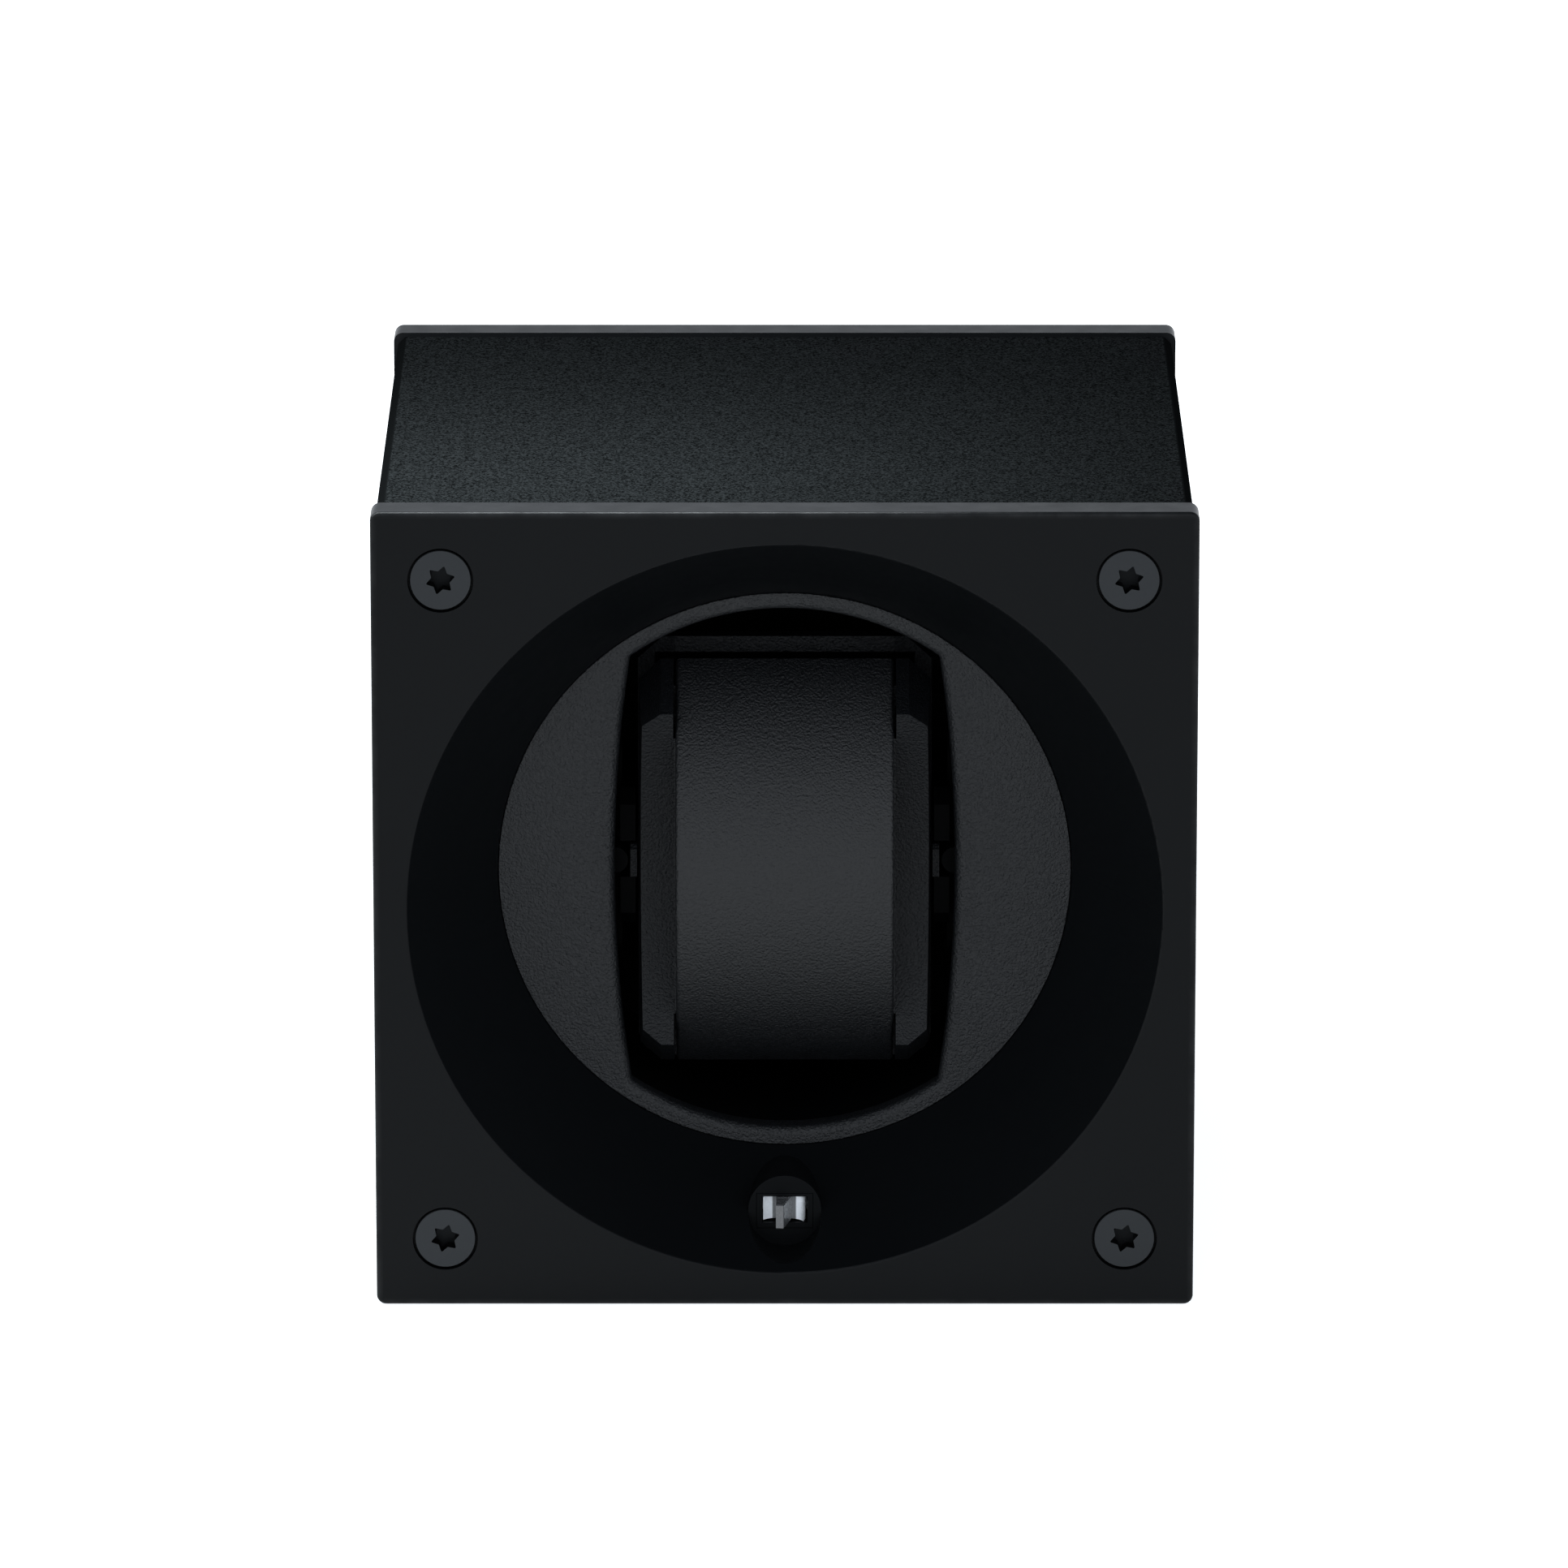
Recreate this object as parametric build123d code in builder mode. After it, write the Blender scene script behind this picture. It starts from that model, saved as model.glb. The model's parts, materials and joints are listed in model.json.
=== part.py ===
from build123d import *
import os
from math import acos, cos, pi, radians, sin, sqrt, tan

# Single watch winder: a cube-shaped cabinet with a conical recess in its front, in which a
# battery-driven drum turns about a level axis. The drum carries a strap holder that pulls out.
#
# Frame: millimetres, +Z up, the front faces -Y, and the origin is the middle of the footprint.
# Along the spin axis a place is given as its depth, measured back from the front face; across
# the axis it is given as X and as the height above the axis.

# ---------------------------------------------------------------- driving dimensions
SIDE = 104.0                     # the cabinet is a cube
HALF = SIDE / 2
AXIS_Z = HALF                    # the spin axis runs through the middle

PLATE_T = 5.2                    # front and rear frame plates
PLATE_CORNER_R = 1.2
PLATE_EDGE_R = 0.5
SLEEVE_INSET = 0.6               # how far the sleeve lies inside the plates' outline
SLEEVE_WALL = 2.0
SLEEVE_CORNER = 0.9              # chamfer along the sleeve's four long edges
SLEEVE_HALF = HALF - SLEEVE_INSET
SLEEVE_BORE = SLEEVE_HALF - SLEEVE_WALL
REAR_INNER = SIDE - PLATE_T      # depth of the rear frame's inner face
CHANNEL_R = 4.2                  # screw channels in the sleeve's corners

SCREW_PITCH = 86.4               # square of the frame screws
SCREW_HEAD_R = 3.9
SCREW_SHANK_R = 1.95
SCREW_LENGTH = 18.0
SCREW_SINK = 0.15                # head face below the plate's face
SINK_R = 4.15                    # narrow gap around the screw heads
SINK_DEPTH = 1.2

MOUTH_R = 47.8                   # the conical recess at the front face
THROAT_R = 36.7                  # and at the drum
DRUM_DEPTH = 19.5                # depth of the drum's face
THROAT_END = 22.5
FUNNEL_WALL = 2.2

DRUM_R = 36.6                    # running fit of 0.1 in the throat
DRUM_BORE = 34.9
FACE_T = 2.5
WINDOW_TOP_Z = 34.4              # the window's half height and half width on the axis
WINDOW_SIDE_X = 21.75
WINDOW_CORNER_X = 19.7
WINDOW_CORNER_Z = 28.1
WINDOW_EDGE_R = 1.1
CUP_SPLIT = 26.0                 # drum face ends, drum cup starts
CUP_FLOOR = 53.0
CUP_END = 55.5
HUB_R = 9.0
HUB_END = 57.5
AXLE_R = 3.0

GEAR_MODULE = 0.8
GEAR_TEETH = 96
PINION_TEETH = 14
GEAR_START = 50.5
GEAR_SEAT_R = 35.9
PRESSURE_ANGLE = radians(20)
BACKLASH = 0.12
MOTOR_ANGLE = -25.0              # direction of the motor from the spin axis, in degrees

BEARING_R = 6.5
BEARING_T = 5.0
BEARING_START = 58.3
SHOULDER_T = 1.0
HOUSING_END = BEARING_START + 2 * BEARING_T + SHOULDER_T
CHASSIS_DEPTH = 60.0
CHASSIS_T = 3.0
CHASSIS_HALF = 48.6
POST_XZ = 36.2                   # chassis posts, from the axis in X and in height
POST_R = 2.75
POST_START = 11.2

BOSS_Z = -42.3                   # switch boss, height relative to the axis
BOSS_R = 4.68
BOSS_FACE = 9.1
BOARD_DEPTH = 21.5               # front face of the switch board
BEZEL_W, BEZEL_H = 7.2, 4.6
OPENING_W, OPENING_H = 5.8, 3.5
OPENING_Z = -42.15
ROCKER_PIVOT = 11.0
ROCKER_TILT = 7.0                # degrees each side of the middle; at rest it points left
FIN_TIP = 5.8

BAND_HALF = 13.9                 # strap holder: curved band
BAND_TOP = 26.7
BAND_APEX = 10.0
HOLDER_SPLIT = 24.5              # rear edge of the front half
WING_FRONT = 14.8
WING_FRONT_X, WING_FRONT_Z = 18.1, 21.85
WING_DISH = 5.6                  # how far the wings' hollowed fronts sink at mid height
WING_REAR_X = 18.65
REAR_FRAME_DEPTH = 31.0          # front face of the holder's rear half
REAR_FRAME_T = 2.5
REAR_X, REAR_Z = 18.85, 27.95
REAR_OPEN_X, REAR_OPEN_Z = 16.7, 25.9
REAR_APEX = 49.5
ROD_Z = 12.0
ROD_R = 1.5
ROD_START = 15.0
SOCKET_R = 3.4

CELL_R, CELL_LENGTH = 13.1, 49.2
CELL_X = 13.9
CELL_DEPTH = 86.6                # depth of the cells' axes
TRAY_Z = 4.0                     # middle of the battery tray above the axis
TRAY_X, TRAY_HALF_Z = 29.2, 30.2
TRAY_START = 71.8
TRAY_WALL = 1.5
COVER_X, COVER_Z = 31.0, 37.0
COVER_T = 2.6
COVER_GAP = 0.25

BOARD_X, BOARD_LOW, BOARD_HIGH = 37.0, -47.5, -31.6
MAIN_BOARD_DEPTH = 93.0
BOARD_T = 1.6
USB_Z = -39.5

SLIP = 0.05                      # gap between parts that are assembled but not pressed

os.makedirs("parts", exist_ok=True)

SPIN_AXIS = Axis((0, 0, AXIS_Z), (0, 1, 0))
# Local x is X and local y is the depth: sections that are revolved about the spin axis.
SECTION = Plane(origin=(0, -HALF, AXIS_Z), x_dir=(1, 0, 0), z_dir=(0, 0, 1))
# Local x is the depth and local y is the height: side profiles.
PROFILE = Plane(origin=(0, -HALF, AXIS_Z), x_dir=(0, 1, 0), z_dir=(1, 0, 0))


def across(depth, x=0.0, z=0.0):
    """Plane square to the spin axis that faces the front; extruding by -t goes back by t."""
    return Plane(origin=(x, depth - HALF, AXIS_Z + z), x_dir=(1, 0, 0), z_dir=(0, -1, 0))


def behind(depth, x=0.0, z=0.0):
    """The same plane facing the back, so its local x is -X."""
    return Plane(origin=(x, depth - HALF, AXIS_Z + z), x_dir=(-1, 0, 0), z_dir=(0, 1, 0))


def save(builder, name):
    builder.part.label = name
    export_step(builder.part, f"parts/{name}.step")


def outline(points):
    """Polygon through the points, inside the current sketch."""
    Polygon(*points, align=None)


def ring(outer, inner, start, end, centre=(0.0, 0.0), mode=Mode.ADD):
    """Tube or disc square to the spin axis, added to the current part."""
    with BuildSketch(across(start, *centre)) as annulus:
        Circle(outer)
        if inner:
            Circle(inner, mode=Mode.SUBTRACT)
    extrude(annulus.sketch, amount=start - end, mode=mode)


def block(width, height, start, end, centre=(0.0, 0.0), mode=Mode.ADD):
    """Box given by its size across the axis and its two depths."""
    with BuildSketch(across(start, *centre)) as rectangle:
        Rectangle(width, height)
    extrude(rectangle.sketch, amount=start - end, mode=mode)


def star_sketch(tip_r, valley_r, turn):
    """Six-pointed drive socket."""
    steps = [(radians(turn + 30 * k), valley_r if k % 2 else tip_r) for k in range(12)]
    outline([(r * cos(a), r * sin(a)) for a, r in steps])


def flat_screw(head_r, shank_r, length, tip_r, valley_r):
    """Countersunk star-drive screw; its head face is at z = 0 and it points down -Z."""
    rim = 0.35
    cone_end = rim + head_r - shank_r
    with BuildPart() as screw:
        with BuildSketch(Plane.XZ):
            outline([(0, 0), (head_r - 0.12, 0), (head_r, -0.12), (head_r, -rim),
                     (shank_r, -cone_end), (shank_r, -length + 0.5),
                     (shank_r - 0.5, -length), (0, -length)])
        revolve(axis=Axis.Z)
        with BuildSketch(Plane.XY):
            star_sketch(tip_r, valley_r, 15)
            fillet(vertices(), 0.14)
        extrude(amount=-0.55 * head_r, mode=Mode.SUBTRACT)
    return screw.part


def pan_screw(head_r, head_t, shank_r, length, tip_r):
    """Pan-head star-drive screw; it seats at z = 0 and points down -Z."""
    with BuildPart() as screw:
        Cylinder(head_r, head_t, align=(Align.CENTER, Align.CENTER, Align.MIN))
        fillet(edges().group_by(Axis.Z)[-1], 0.3 * head_t)
        Cylinder(shank_r, length, align=(Align.CENTER, Align.CENTER, Align.MAX))
        with BuildSketch(Plane.XY.offset(head_t)):
            star_sketch(tip_r, 0.7 * tip_r, 0)
        extrude(amount=-0.6 * head_t, mode=Mode.SUBTRACT)
    return screw.part


def corners(distance):
    return [(sx * distance, sz * distance) for sx in (-1, 1) for sz in (-1, 1)]


frame_screw = flat_screw(SCREW_HEAD_R, SCREW_SHANK_R, SCREW_LENGTH, 1.93, 1.2)
small_screw = pan_screw(1.9, 1.1, 0.9, 4.0, 0.8)
ear_screw = pan_screw(1.9, 1.1, 0.9, 4.0, 0.8)
motor_screw = pan_screw(1.9, 1.2, 0.9, CHASSIS_T + 4.0, 0.8)
board_screw = pan_screw(1.9, 1.1, 0.95, 6.0, 0.8)
led_board_screw = pan_screw(1.7, 1.0, 0.85, 6.0, 0.75)
post_screw = pan_screw(2.8, 1.9, 1.2, 9.0, 1.2)


# ---------------------------------------------------------------- cabinet
def funnel_radius(depth):
    return MOUTH_R + (THROAT_R - MOUTH_R) * depth / DRUM_DEPTH


def frame_plate(facing):
    """Square plate with rounded corners; facing gives the plane of its outer face."""
    with BuildSketch(facing) as square:
        RectangleRounded(SIDE, SIDE, PLATE_CORNER_R)
    extrude(square.sketch, amount=-PLATE_T)


def locating_ribs(start, end):
    """Four ribs that centre a frame plate inside the sleeve."""
    length, thick = 56.0, 1.6
    offset = SLEEVE_BORE - 0.15 - thick / 2
    for sign in (-1, 1):
        block(length, thick, start, end, centre=(0, sign * offset))
        block(thick, length, start, end, centre=(sign * offset, 0))


def sink_cutter():
    """Clearance hole with a recessed countersink, for one frame screw; its mouth is at z = 0."""
    hole_r = SCREW_SHANK_R + 0.1
    seat_r = SCREW_HEAD_R - (SINK_DEPTH - SCREW_SINK - 0.35) + 0.05
    cone = SINK_DEPTH + seat_r - hole_r
    with BuildPart() as cutter:
        with BuildSketch(Plane.XZ):
            outline([(0, 1), (SINK_R, 1), (SINK_R, -SINK_DEPTH), (seat_r, -SINK_DEPTH),
                     (hole_r, -cone), (hole_r, -PLATE_T - 1), (0, -PLATE_T - 1)])
        revolve(axis=Axis.Z)
    return cutter.part


frame_sink = sink_cutter()


def screw_sinks(facing):
    """Cut the four frame screws' holes into the current plate."""
    with Locations(facing):
        with GridLocations(SCREW_PITCH, SCREW_PITCH, 2, 2):
            add(frame_sink, mode=Mode.SUBTRACT)


with BuildPart() as front_frame:
    frame_plate(across(0))
    fillet(edges().filter_by(Axis.Y, reverse=True).group_by(Axis.Y)[0], PLATE_EDGE_R)
    locating_ribs(PLATE_T, PLATE_T + 3)
    # pocket wall behind the cone, around the switch boss
    ring(BOSS_R + 1.5, 0, 2.5, BOARD_DEPTH, centre=(0, BOSS_Z))
    # bosses that take the chassis posts
    for x, z in corners(POST_XZ):
        ring(POST_R + 0.5, 0, PLATE_T, POST_START, centre=(x, z))
    # bosses that carry the switch board
    for x in (-8.6, 8.6):
        ring(1.8, 0, PLATE_T, BOARD_DEPTH, centre=(x, BOSS_Z - 2.4))
    # the cone and the throat, open from the front
    with BuildSketch(SECTION):
        outer_throat = THROAT_R + FUNNEL_WALL
        outline([(0, 2.0), (MOUTH_R, 2.0), (MOUTH_R + FUNNEL_WALL, 2.0),
                 (outer_throat + 0.6, DRUM_DEPTH), (outer_throat, THROAT_END), (0, THROAT_END)])
    revolve(axis=SPIN_AXIS)
    with BuildSketch(SECTION):
        outline([(0, -1), (funnel_radius(-1), -1), (THROAT_R, DRUM_DEPTH),
                 (THROAT_R, THROAT_END + 1), (0, THROAT_END + 1)])
    revolve(axis=SPIN_AXIS, mode=Mode.SUBTRACT)
    mouth = edges().filter_by(GeomType.CIRCLE).filter_by(lambda e: abs(e.radius - MOUTH_R) < 0.3)
    fillet(mouth.sort_by(Axis.Y)[0], 0.35)
    # the boss stands in a pocket of its own radius
    ring(BOSS_R, 0, -1, BOSS_FACE, centre=(0, BOSS_Z), mode=Mode.SUBTRACT)
    ring(BOSS_R, 0, BOSS_FACE, BOARD_DEPTH, centre=(0, BOSS_Z))
    block(BEZEL_W + 2 * SLIP, BEZEL_H + 2 * SLIP, BOSS_FACE - 1, BOARD_DEPTH + 1,
          centre=(0, BOSS_Z), mode=Mode.SUBTRACT)
    screw_sinks(across(0))
    for x, z in corners(POST_XZ):
        ring(1.3, 0, PLATE_T - 2, POST_START + 1, centre=(x, z), mode=Mode.SUBTRACT)
    for x in (-8.6, 8.6):
        ring(0.9, 0, BOARD_DEPTH - 7, BOARD_DEPTH + 1, centre=(x, BOSS_Z - 2.4), mode=Mode.SUBTRACT)
save(front_frame, "front_frame")

with BuildPart() as housing_sleeve:
    with BuildSketch(across(PLATE_T)):
        Rectangle(2 * SLEEVE_HALF, 2 * SLEEVE_HALF)
        chamfer(vertices(), SLEEVE_CORNER)
        RectangleRounded(2 * SLEEVE_BORE, 2 * SLEEVE_BORE, 1.0, mode=Mode.SUBTRACT)
        with GridLocations(SCREW_PITCH, SCREW_PITCH, 2, 2):
            Circle(CHANNEL_R)
        # webs tie each screw channel to the corner
        web = (SLEEVE_BORE + SCREW_PITCH / 2) / 2 + 0.5
        for x, z in corners(web):
            with Locations(Location((x, z, 0), 45 if x * z > 0 else -45)):
                Rectangle(2 * (SLEEVE_BORE - web) + 2.4, 5.0)
        with GridLocations(SCREW_PITCH, SCREW_PITCH, 2, 2):
            Circle(SCREW_SHANK_R + SLIP, mode=Mode.SUBTRACT)
    extrude(amount=PLATE_T - REAR_INNER)
save(housing_sleeve, "housing_sleeve")

with BuildPart(across(SCREW_SINK)) as front_screws:
    with GridLocations(SCREW_PITCH, SCREW_PITCH, 2, 2):
        add(frame_screw)
save(front_screws, "front_screws")

with BuildPart(behind(SIDE - SCREW_SINK)) as rear_screws:
    with GridLocations(SCREW_PITCH, SCREW_PITCH, 2, 2):
        add(frame_screw)
save(rear_screws, "rear_screws")

EAR_Z = TRAY_HALF_Z + 2.4
TRAY_EARS = [(x, TRAY_Z + z) for x in (-20.0, 20.0) for z in (-EAR_Z, EAR_Z)]
BOARD_SCREWS = [(x, z) for x in (-33.5, 33.5) for z in (BOARD_LOW + 3.2, BOARD_HIGH - 3.2)]
COVER_FASTENERS = [(0.0, TRAY_Z + COVER_Z - 4.6), (0.0, TRAY_Z - COVER_Z + 4.6)]
FASTENER_R = 3.2

with BuildPart() as rear_frame:
    frame_plate(behind(SIDE))
    fillet(edges().filter_by(Axis.Y, reverse=True).group_by(Axis.Y)[-1], PLATE_EDGE_R)
    locating_ribs(REAR_INNER - 3, REAR_INNER)
    # posts for the control board
    for x, z in BOARD_SCREWS:
        ring(2.4, 0, MAIN_BOARD_DEPTH + BOARD_T, REAR_INNER, centre=(x, z))
    # recess for the cover, then the way through to the cells
    with BuildSketch(behind(SIDE, z=TRAY_Z)):
        RectangleRounded(2 * COVER_X, 2 * COVER_Z, 3.0)
    extrude(amount=-COVER_T, mode=Mode.SUBTRACT)
    block(2 * (TRAY_X - TRAY_WALL), 2 * (TRAY_HALF_Z - TRAY_WALL), REAR_INNER - 1, SIDE + 1,
          centre=(0, TRAY_Z), mode=Mode.SUBTRACT)
    for x, z in COVER_FASTENERS:
        ring(1.6, 0, REAR_INNER - 1, SIDE + 1, centre=(x, z), mode=Mode.SUBTRACT)
    # shallow seat and slot for the power inlet
    with BuildSketch(behind(SIDE, z=USB_Z)):
        SlotOverall(13.0, 8.0)
    extrude(amount=-1.8, mode=Mode.SUBTRACT)
    block(8.2, 3.4, REAR_INNER - 1, SIDE, centre=(0, USB_Z), mode=Mode.SUBTRACT)
    screw_sinks(behind(SIDE))
    for x, z in BOARD_SCREWS:
        ring(1.0, 0, MAIN_BOARD_DEPTH, REAR_INNER + 2, centre=(x, z), mode=Mode.SUBTRACT)
    for x, z in TRAY_EARS:
        ring(1.0, 0, REAR_INNER - 1, REAR_INNER + 2, centre=(x, z), mode=Mode.SUBTRACT)
save(rear_frame, "rear_frame")


# ---------------------------------------------------------------- drum
def window_sketch():
    """The drum's window: arcs above and below and two gently bowed sides."""
    side = (WINDOW_CORNER_X, WINDOW_CORNER_Z)
    with BuildLine() as edge:
        ThreePointArc((-side[0], side[1]), (0, WINDOW_TOP_Z), side)
        ThreePointArc(side, (WINDOW_SIDE_X, 0), (side[0], -side[1]))
        ThreePointArc((side[0], -side[1]), (0, -WINDOW_TOP_Z), (-side[0], -side[1]))
        ThreePointArc((-side[0], -side[1]), (-WINDOW_SIDE_X, 0), (-side[0], side[1]))
    make_face(edge.edges())
    fillet(vertices(), 0.7)


LIP_R = (DRUM_R + DRUM_BORE) / 2

with BuildPart() as drum_front:
    ring(DRUM_R, 0, DRUM_DEPTH, DRUM_DEPTH + FACE_T)
    ring(DRUM_R, DRUM_BORE, DRUM_DEPTH + FACE_T, CUP_SPLIT - 1.5)
    ring(DRUM_R, LIP_R + SLIP, CUP_SPLIT - 1.5, CUP_SPLIT)
    fillet(edges().filter_by(GeomType.CIRCLE).group_by(Axis.Y)[0], 0.12)
    with BuildSketch(across(DRUM_DEPTH - 1)):
        window_sketch()
    extrude(amount=-FACE_T - 2, mode=Mode.SUBTRACT)
    rim = edges().group_by(Axis.Y)[0].filter_by(lambda e: e.length < 100)
    fillet(rim, WINDOW_EDGE_R)
save(drum_front, "drum_front")

CRADLE_SCREWS = [(x, z) for x in (-15.0, 15.0) for z in (-12.0, 12.0)]
MAGNET_Z = 29.0

with BuildPart() as drum_cup:
    ring(LIP_R, DRUM_BORE, CUP_SPLIT - 1.5 + SLIP, CUP_SPLIT)
    ring(DRUM_R, DRUM_BORE, CUP_SPLIT, GEAR_START)
    ring(GEAR_SEAT_R, DRUM_BORE, GEAR_START, CUP_FLOOR)
    ring(GEAR_SEAT_R, 0, CUP_FLOOR, CUP_END)
    ring(HUB_R, 0, CUP_END, HUB_END)
    ring(AXLE_R + 0.02, 0, CUP_FLOOR - 1, HUB_END + 1, mode=Mode.SUBTRACT)
    for x, z in CRADLE_SCREWS:
        ring(0.95, 0, CUP_FLOOR - 1, CUP_END + 1, centre=(x, z), mode=Mode.SUBTRACT)
    ring(2.5 + SLIP, 0, CUP_END - 1.6, CUP_END + 1, centre=(0, MAGNET_Z), mode=Mode.SUBTRACT)
save(drum_cup, "drum_cup")

with BuildPart() as stop_magnet:
    ring(2.5, 0, CUP_END - 1.6, CUP_END, centre=(0, MAGNET_Z))
save(stop_magnet, "stop_magnet")

CHEEK_X, CHEEK_T, CHEEK_Z = 20.9, 1.8, 15.0
CHEEK_FRONT = 30.0
RAIL_IN, RAIL_Z, RAIL_FRONT = 19.15, 9.0, 25.0
CHANNEL_Z = 2.4                  # half width of the channel between the rails
PLUNGER_DEPTH = 34.0

with BuildPart() as drum_cradle:
    block(2 * (CHEEK_X + CHEEK_T), 2 * CHEEK_Z, CUP_FLOOR - 2.0, CUP_FLOOR)
    for sign in (-1, 1):
        block(CHEEK_T, 2 * CHEEK_Z, CHEEK_FRONT, CUP_FLOOR, centre=(sign * (CHEEK_X + CHEEK_T / 2), 0))
        # stiffening rib outside each cheek
        block(2.4, 2.0, CHEEK_FRONT + 6, CUP_FLOOR, centre=(sign * (CHEEK_X + CHEEK_T + 1.2), 0))
    fillet(edges().filter_by(Axis.X).group_by(Axis.Y)[0], 3.0)
    # a pair of rails on each side, with a channel for the holder's tab between them
    rail_end = CUP_FLOOR - 1.5
    rail = [(RAIL_FRONT, -RAIL_Z + 1.8), (RAIL_FRONT + 2, -RAIL_Z), (rail_end, -RAIL_Z),
            (rail_end, RAIL_Z), (RAIL_FRONT + 2, RAIL_Z), (RAIL_FRONT, RAIL_Z - 1.8)]
    for sign in (-1, 1):
        with BuildSketch(PROFILE.offset(sign * (RAIL_IN + CHEEK_X + 0.2) / 2)):
            outline(rail)
        extrude(amount=(CHEEK_X + 0.2 - RAIL_IN) / 2, both=True)
        block(2 * (CHEEK_X - RAIL_IN), 2 * CHANNEL_Z, RAIL_FRONT - 1, CUP_FLOOR - 2.0,
              centre=(sign * RAIL_IN, 0), mode=Mode.SUBTRACT)
        block(0.4, 2 * CHANNEL_Z, RAIL_FRONT - 1, CHEEK_FRONT, centre=(sign * (CHEEK_X + 0.1), 0), mode=Mode.SUBTRACT)
        ring(1.7, 0, RAIL_FRONT - 0.6, CHEEK_FRONT + 1.5, centre=(sign * 21.8, 0))
    ring(5.6, 0, CUP_FLOOR - 3, CUP_FLOOR + 1, mode=Mode.SUBTRACT)
    for x, z in CRADLE_SCREWS:
        ring(1.25, 0, CUP_FLOOR - 3, CUP_FLOOR + 1, centre=(x, z), mode=Mode.SUBTRACT)
    # seats for the two ball plungers, bored through the cheeks
    with BuildSketch(Plane.YZ.offset(-30)):
        with Locations((PLUNGER_DEPTH - HALF, AXIS_Z)):
            Circle(1.8)
    extrude(amount=60, mode=Mode.SUBTRACT)
save(drum_cradle, "drum_cradle")

with BuildPart() as cradle_screws:
    with Locations(across(CUP_FLOOR - 2.0)):
        with Locations(*CRADLE_SCREWS):
            add(small_screw)
save(cradle_screws, "cradle_screws")

PLUNGER_TIP = 19.9

with BuildPart() as detent_plungers:
    for sign in (-1, 1):
        side_plane = Plane(origin=(sign * PLUNGER_TIP, PLUNGER_DEPTH - HALF, AXIS_Z), x_dir=(0, 1, 0), z_dir=(sign, 0, 0))
        with BuildSketch(side_plane):
            Circle(1.2)
        extrude(amount=1.0)
        with BuildSketch(side_plane.offset(0.8)):
            Circle(1.8 - SLIP)
        extrude(amount=2.4)
    tips = edges().filter_by(GeomType.CIRCLE).filter_by(lambda e: abs(abs(e.center().X) - PLUNGER_TIP) < 0.01)
    chamfer(tips, 0.35)
save(detent_plungers, "detent_plungers")


# ---------------------------------------------------------------- gears
def involute_angle(radius, base):
    if radius <= base:
        return 0.0
    angle = acos(base / radius)
    return tan(angle) - angle


def tooth_sketch(teeth, tip_r, root_r, turn):
    """One involute tooth centred on the direction turn, in degrees, rooted just inside root_r."""
    pitch_r = GEAR_MODULE * teeth / 2
    base = pitch_r * cos(PRESSURE_ANGLE)
    half = pi / (2 * teeth) - BACKLASH / (4 * pitch_r) + involute_angle(pitch_r, base)
    start = max(base, root_r)
    radii = [start, (start + tip_r) / 2, tip_r]

    def point(radius, sign):
        a = radians(turn) + sign * (half - involute_angle(radius, base))
        return (radius * cos(a), radius * sin(a))

    def rooted(sign):
        a = radians(turn) + sign * (half - involute_angle(start, base))
        return ((root_r - 0.2) * cos(a), (root_r - 0.2) * sin(a))

    with BuildLine() as flanks:
        Line(rooted(-1), point(start, -1))
        ThreePointArc(*[point(r, -1) for r in radii])
        crown = (tip_r * cos(radians(turn)), tip_r * sin(radians(turn)))
        ThreePointArc(point(tip_r, -1), crown, point(tip_r, 1))
        ThreePointArc(*[point(r, 1) for r in reversed(radii)])
        Line(point(start, 1), rooted(1))
        Line(rooted(1), rooted(-1))
    make_face(flanks.edges())


def gear_sketch(teeth, turn):
    """Spur gear outline with stub teeth; turn points one tooth in that direction."""
    pitch_r = GEAR_MODULE * teeth / 2
    tip_r, root_r = pitch_r + 0.8 * GEAR_MODULE, pitch_r - 1.05 * GEAR_MODULE
    with BuildSketch(mode=Mode.PRIVATE) as tooth:
        tooth_sketch(teeth, tip_r, root_r, turn)
    Circle(root_r)
    with PolarLocations(0, teeth):
        add(tooth.sketch)


GEAR_R = GEAR_MODULE * GEAR_TEETH / 2
PINION_R = GEAR_MODULE * PINION_TEETH / 2
CENTRES = GEAR_R + PINION_R
MOTOR_X = CENTRES * cos(radians(MOTOR_ANGLE))
MOTOR_Z = CENTRES * sin(radians(MOTOR_ANGLE))
MOTOR_AT = (MOTOR_X, MOTOR_Z)

with BuildPart() as ring_gear:
    with BuildSketch(across(GEAR_START)):
        gear_sketch(GEAR_TEETH, MOTOR_ANGLE)
        Circle(GEAR_SEAT_R, mode=Mode.SUBTRACT)
    extrude(amount=GEAR_START - CUP_END)
save(ring_gear, "ring_gear")

PINION_START, PINION_END = GEAR_START - 0.3, CUP_END + 0.3

with BuildPart() as pinion:
    with BuildSketch(across(PINION_START, *MOTOR_AT)):
        # a gap, not a tooth, faces the ring gear's tooth
        gear_sketch(PINION_TEETH, MOTOR_ANGLE + 180 + 180 / PINION_TEETH)
    extrude(amount=PINION_START - PINION_END)
    ring(3.2, 0, PINION_END, PINION_END + 2, centre=MOTOR_AT)
    ring(1.5, 0, PINION_START - 1, PINION_END + 3, centre=MOTOR_AT, mode=Mode.SUBTRACT)
save(pinion, "pinion")


# ---------------------------------------------------------------- axle and bearings
with BuildPart() as drum_axle:
    ring(5.0, 0, CUP_FLOOR - 1.2, CUP_FLOOR)
    ring(AXLE_R, 0, CUP_FLOOR, HOUSING_END + 2.2)
    ring(AXLE_R + 1, 2.3, HOUSING_END + 0.55, HOUSING_END + 1.25, mode=Mode.SUBTRACT)
    chamfer(edges().group_by(Axis.Y)[-1], 0.4)
save(drum_axle, "drum_axle")

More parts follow.
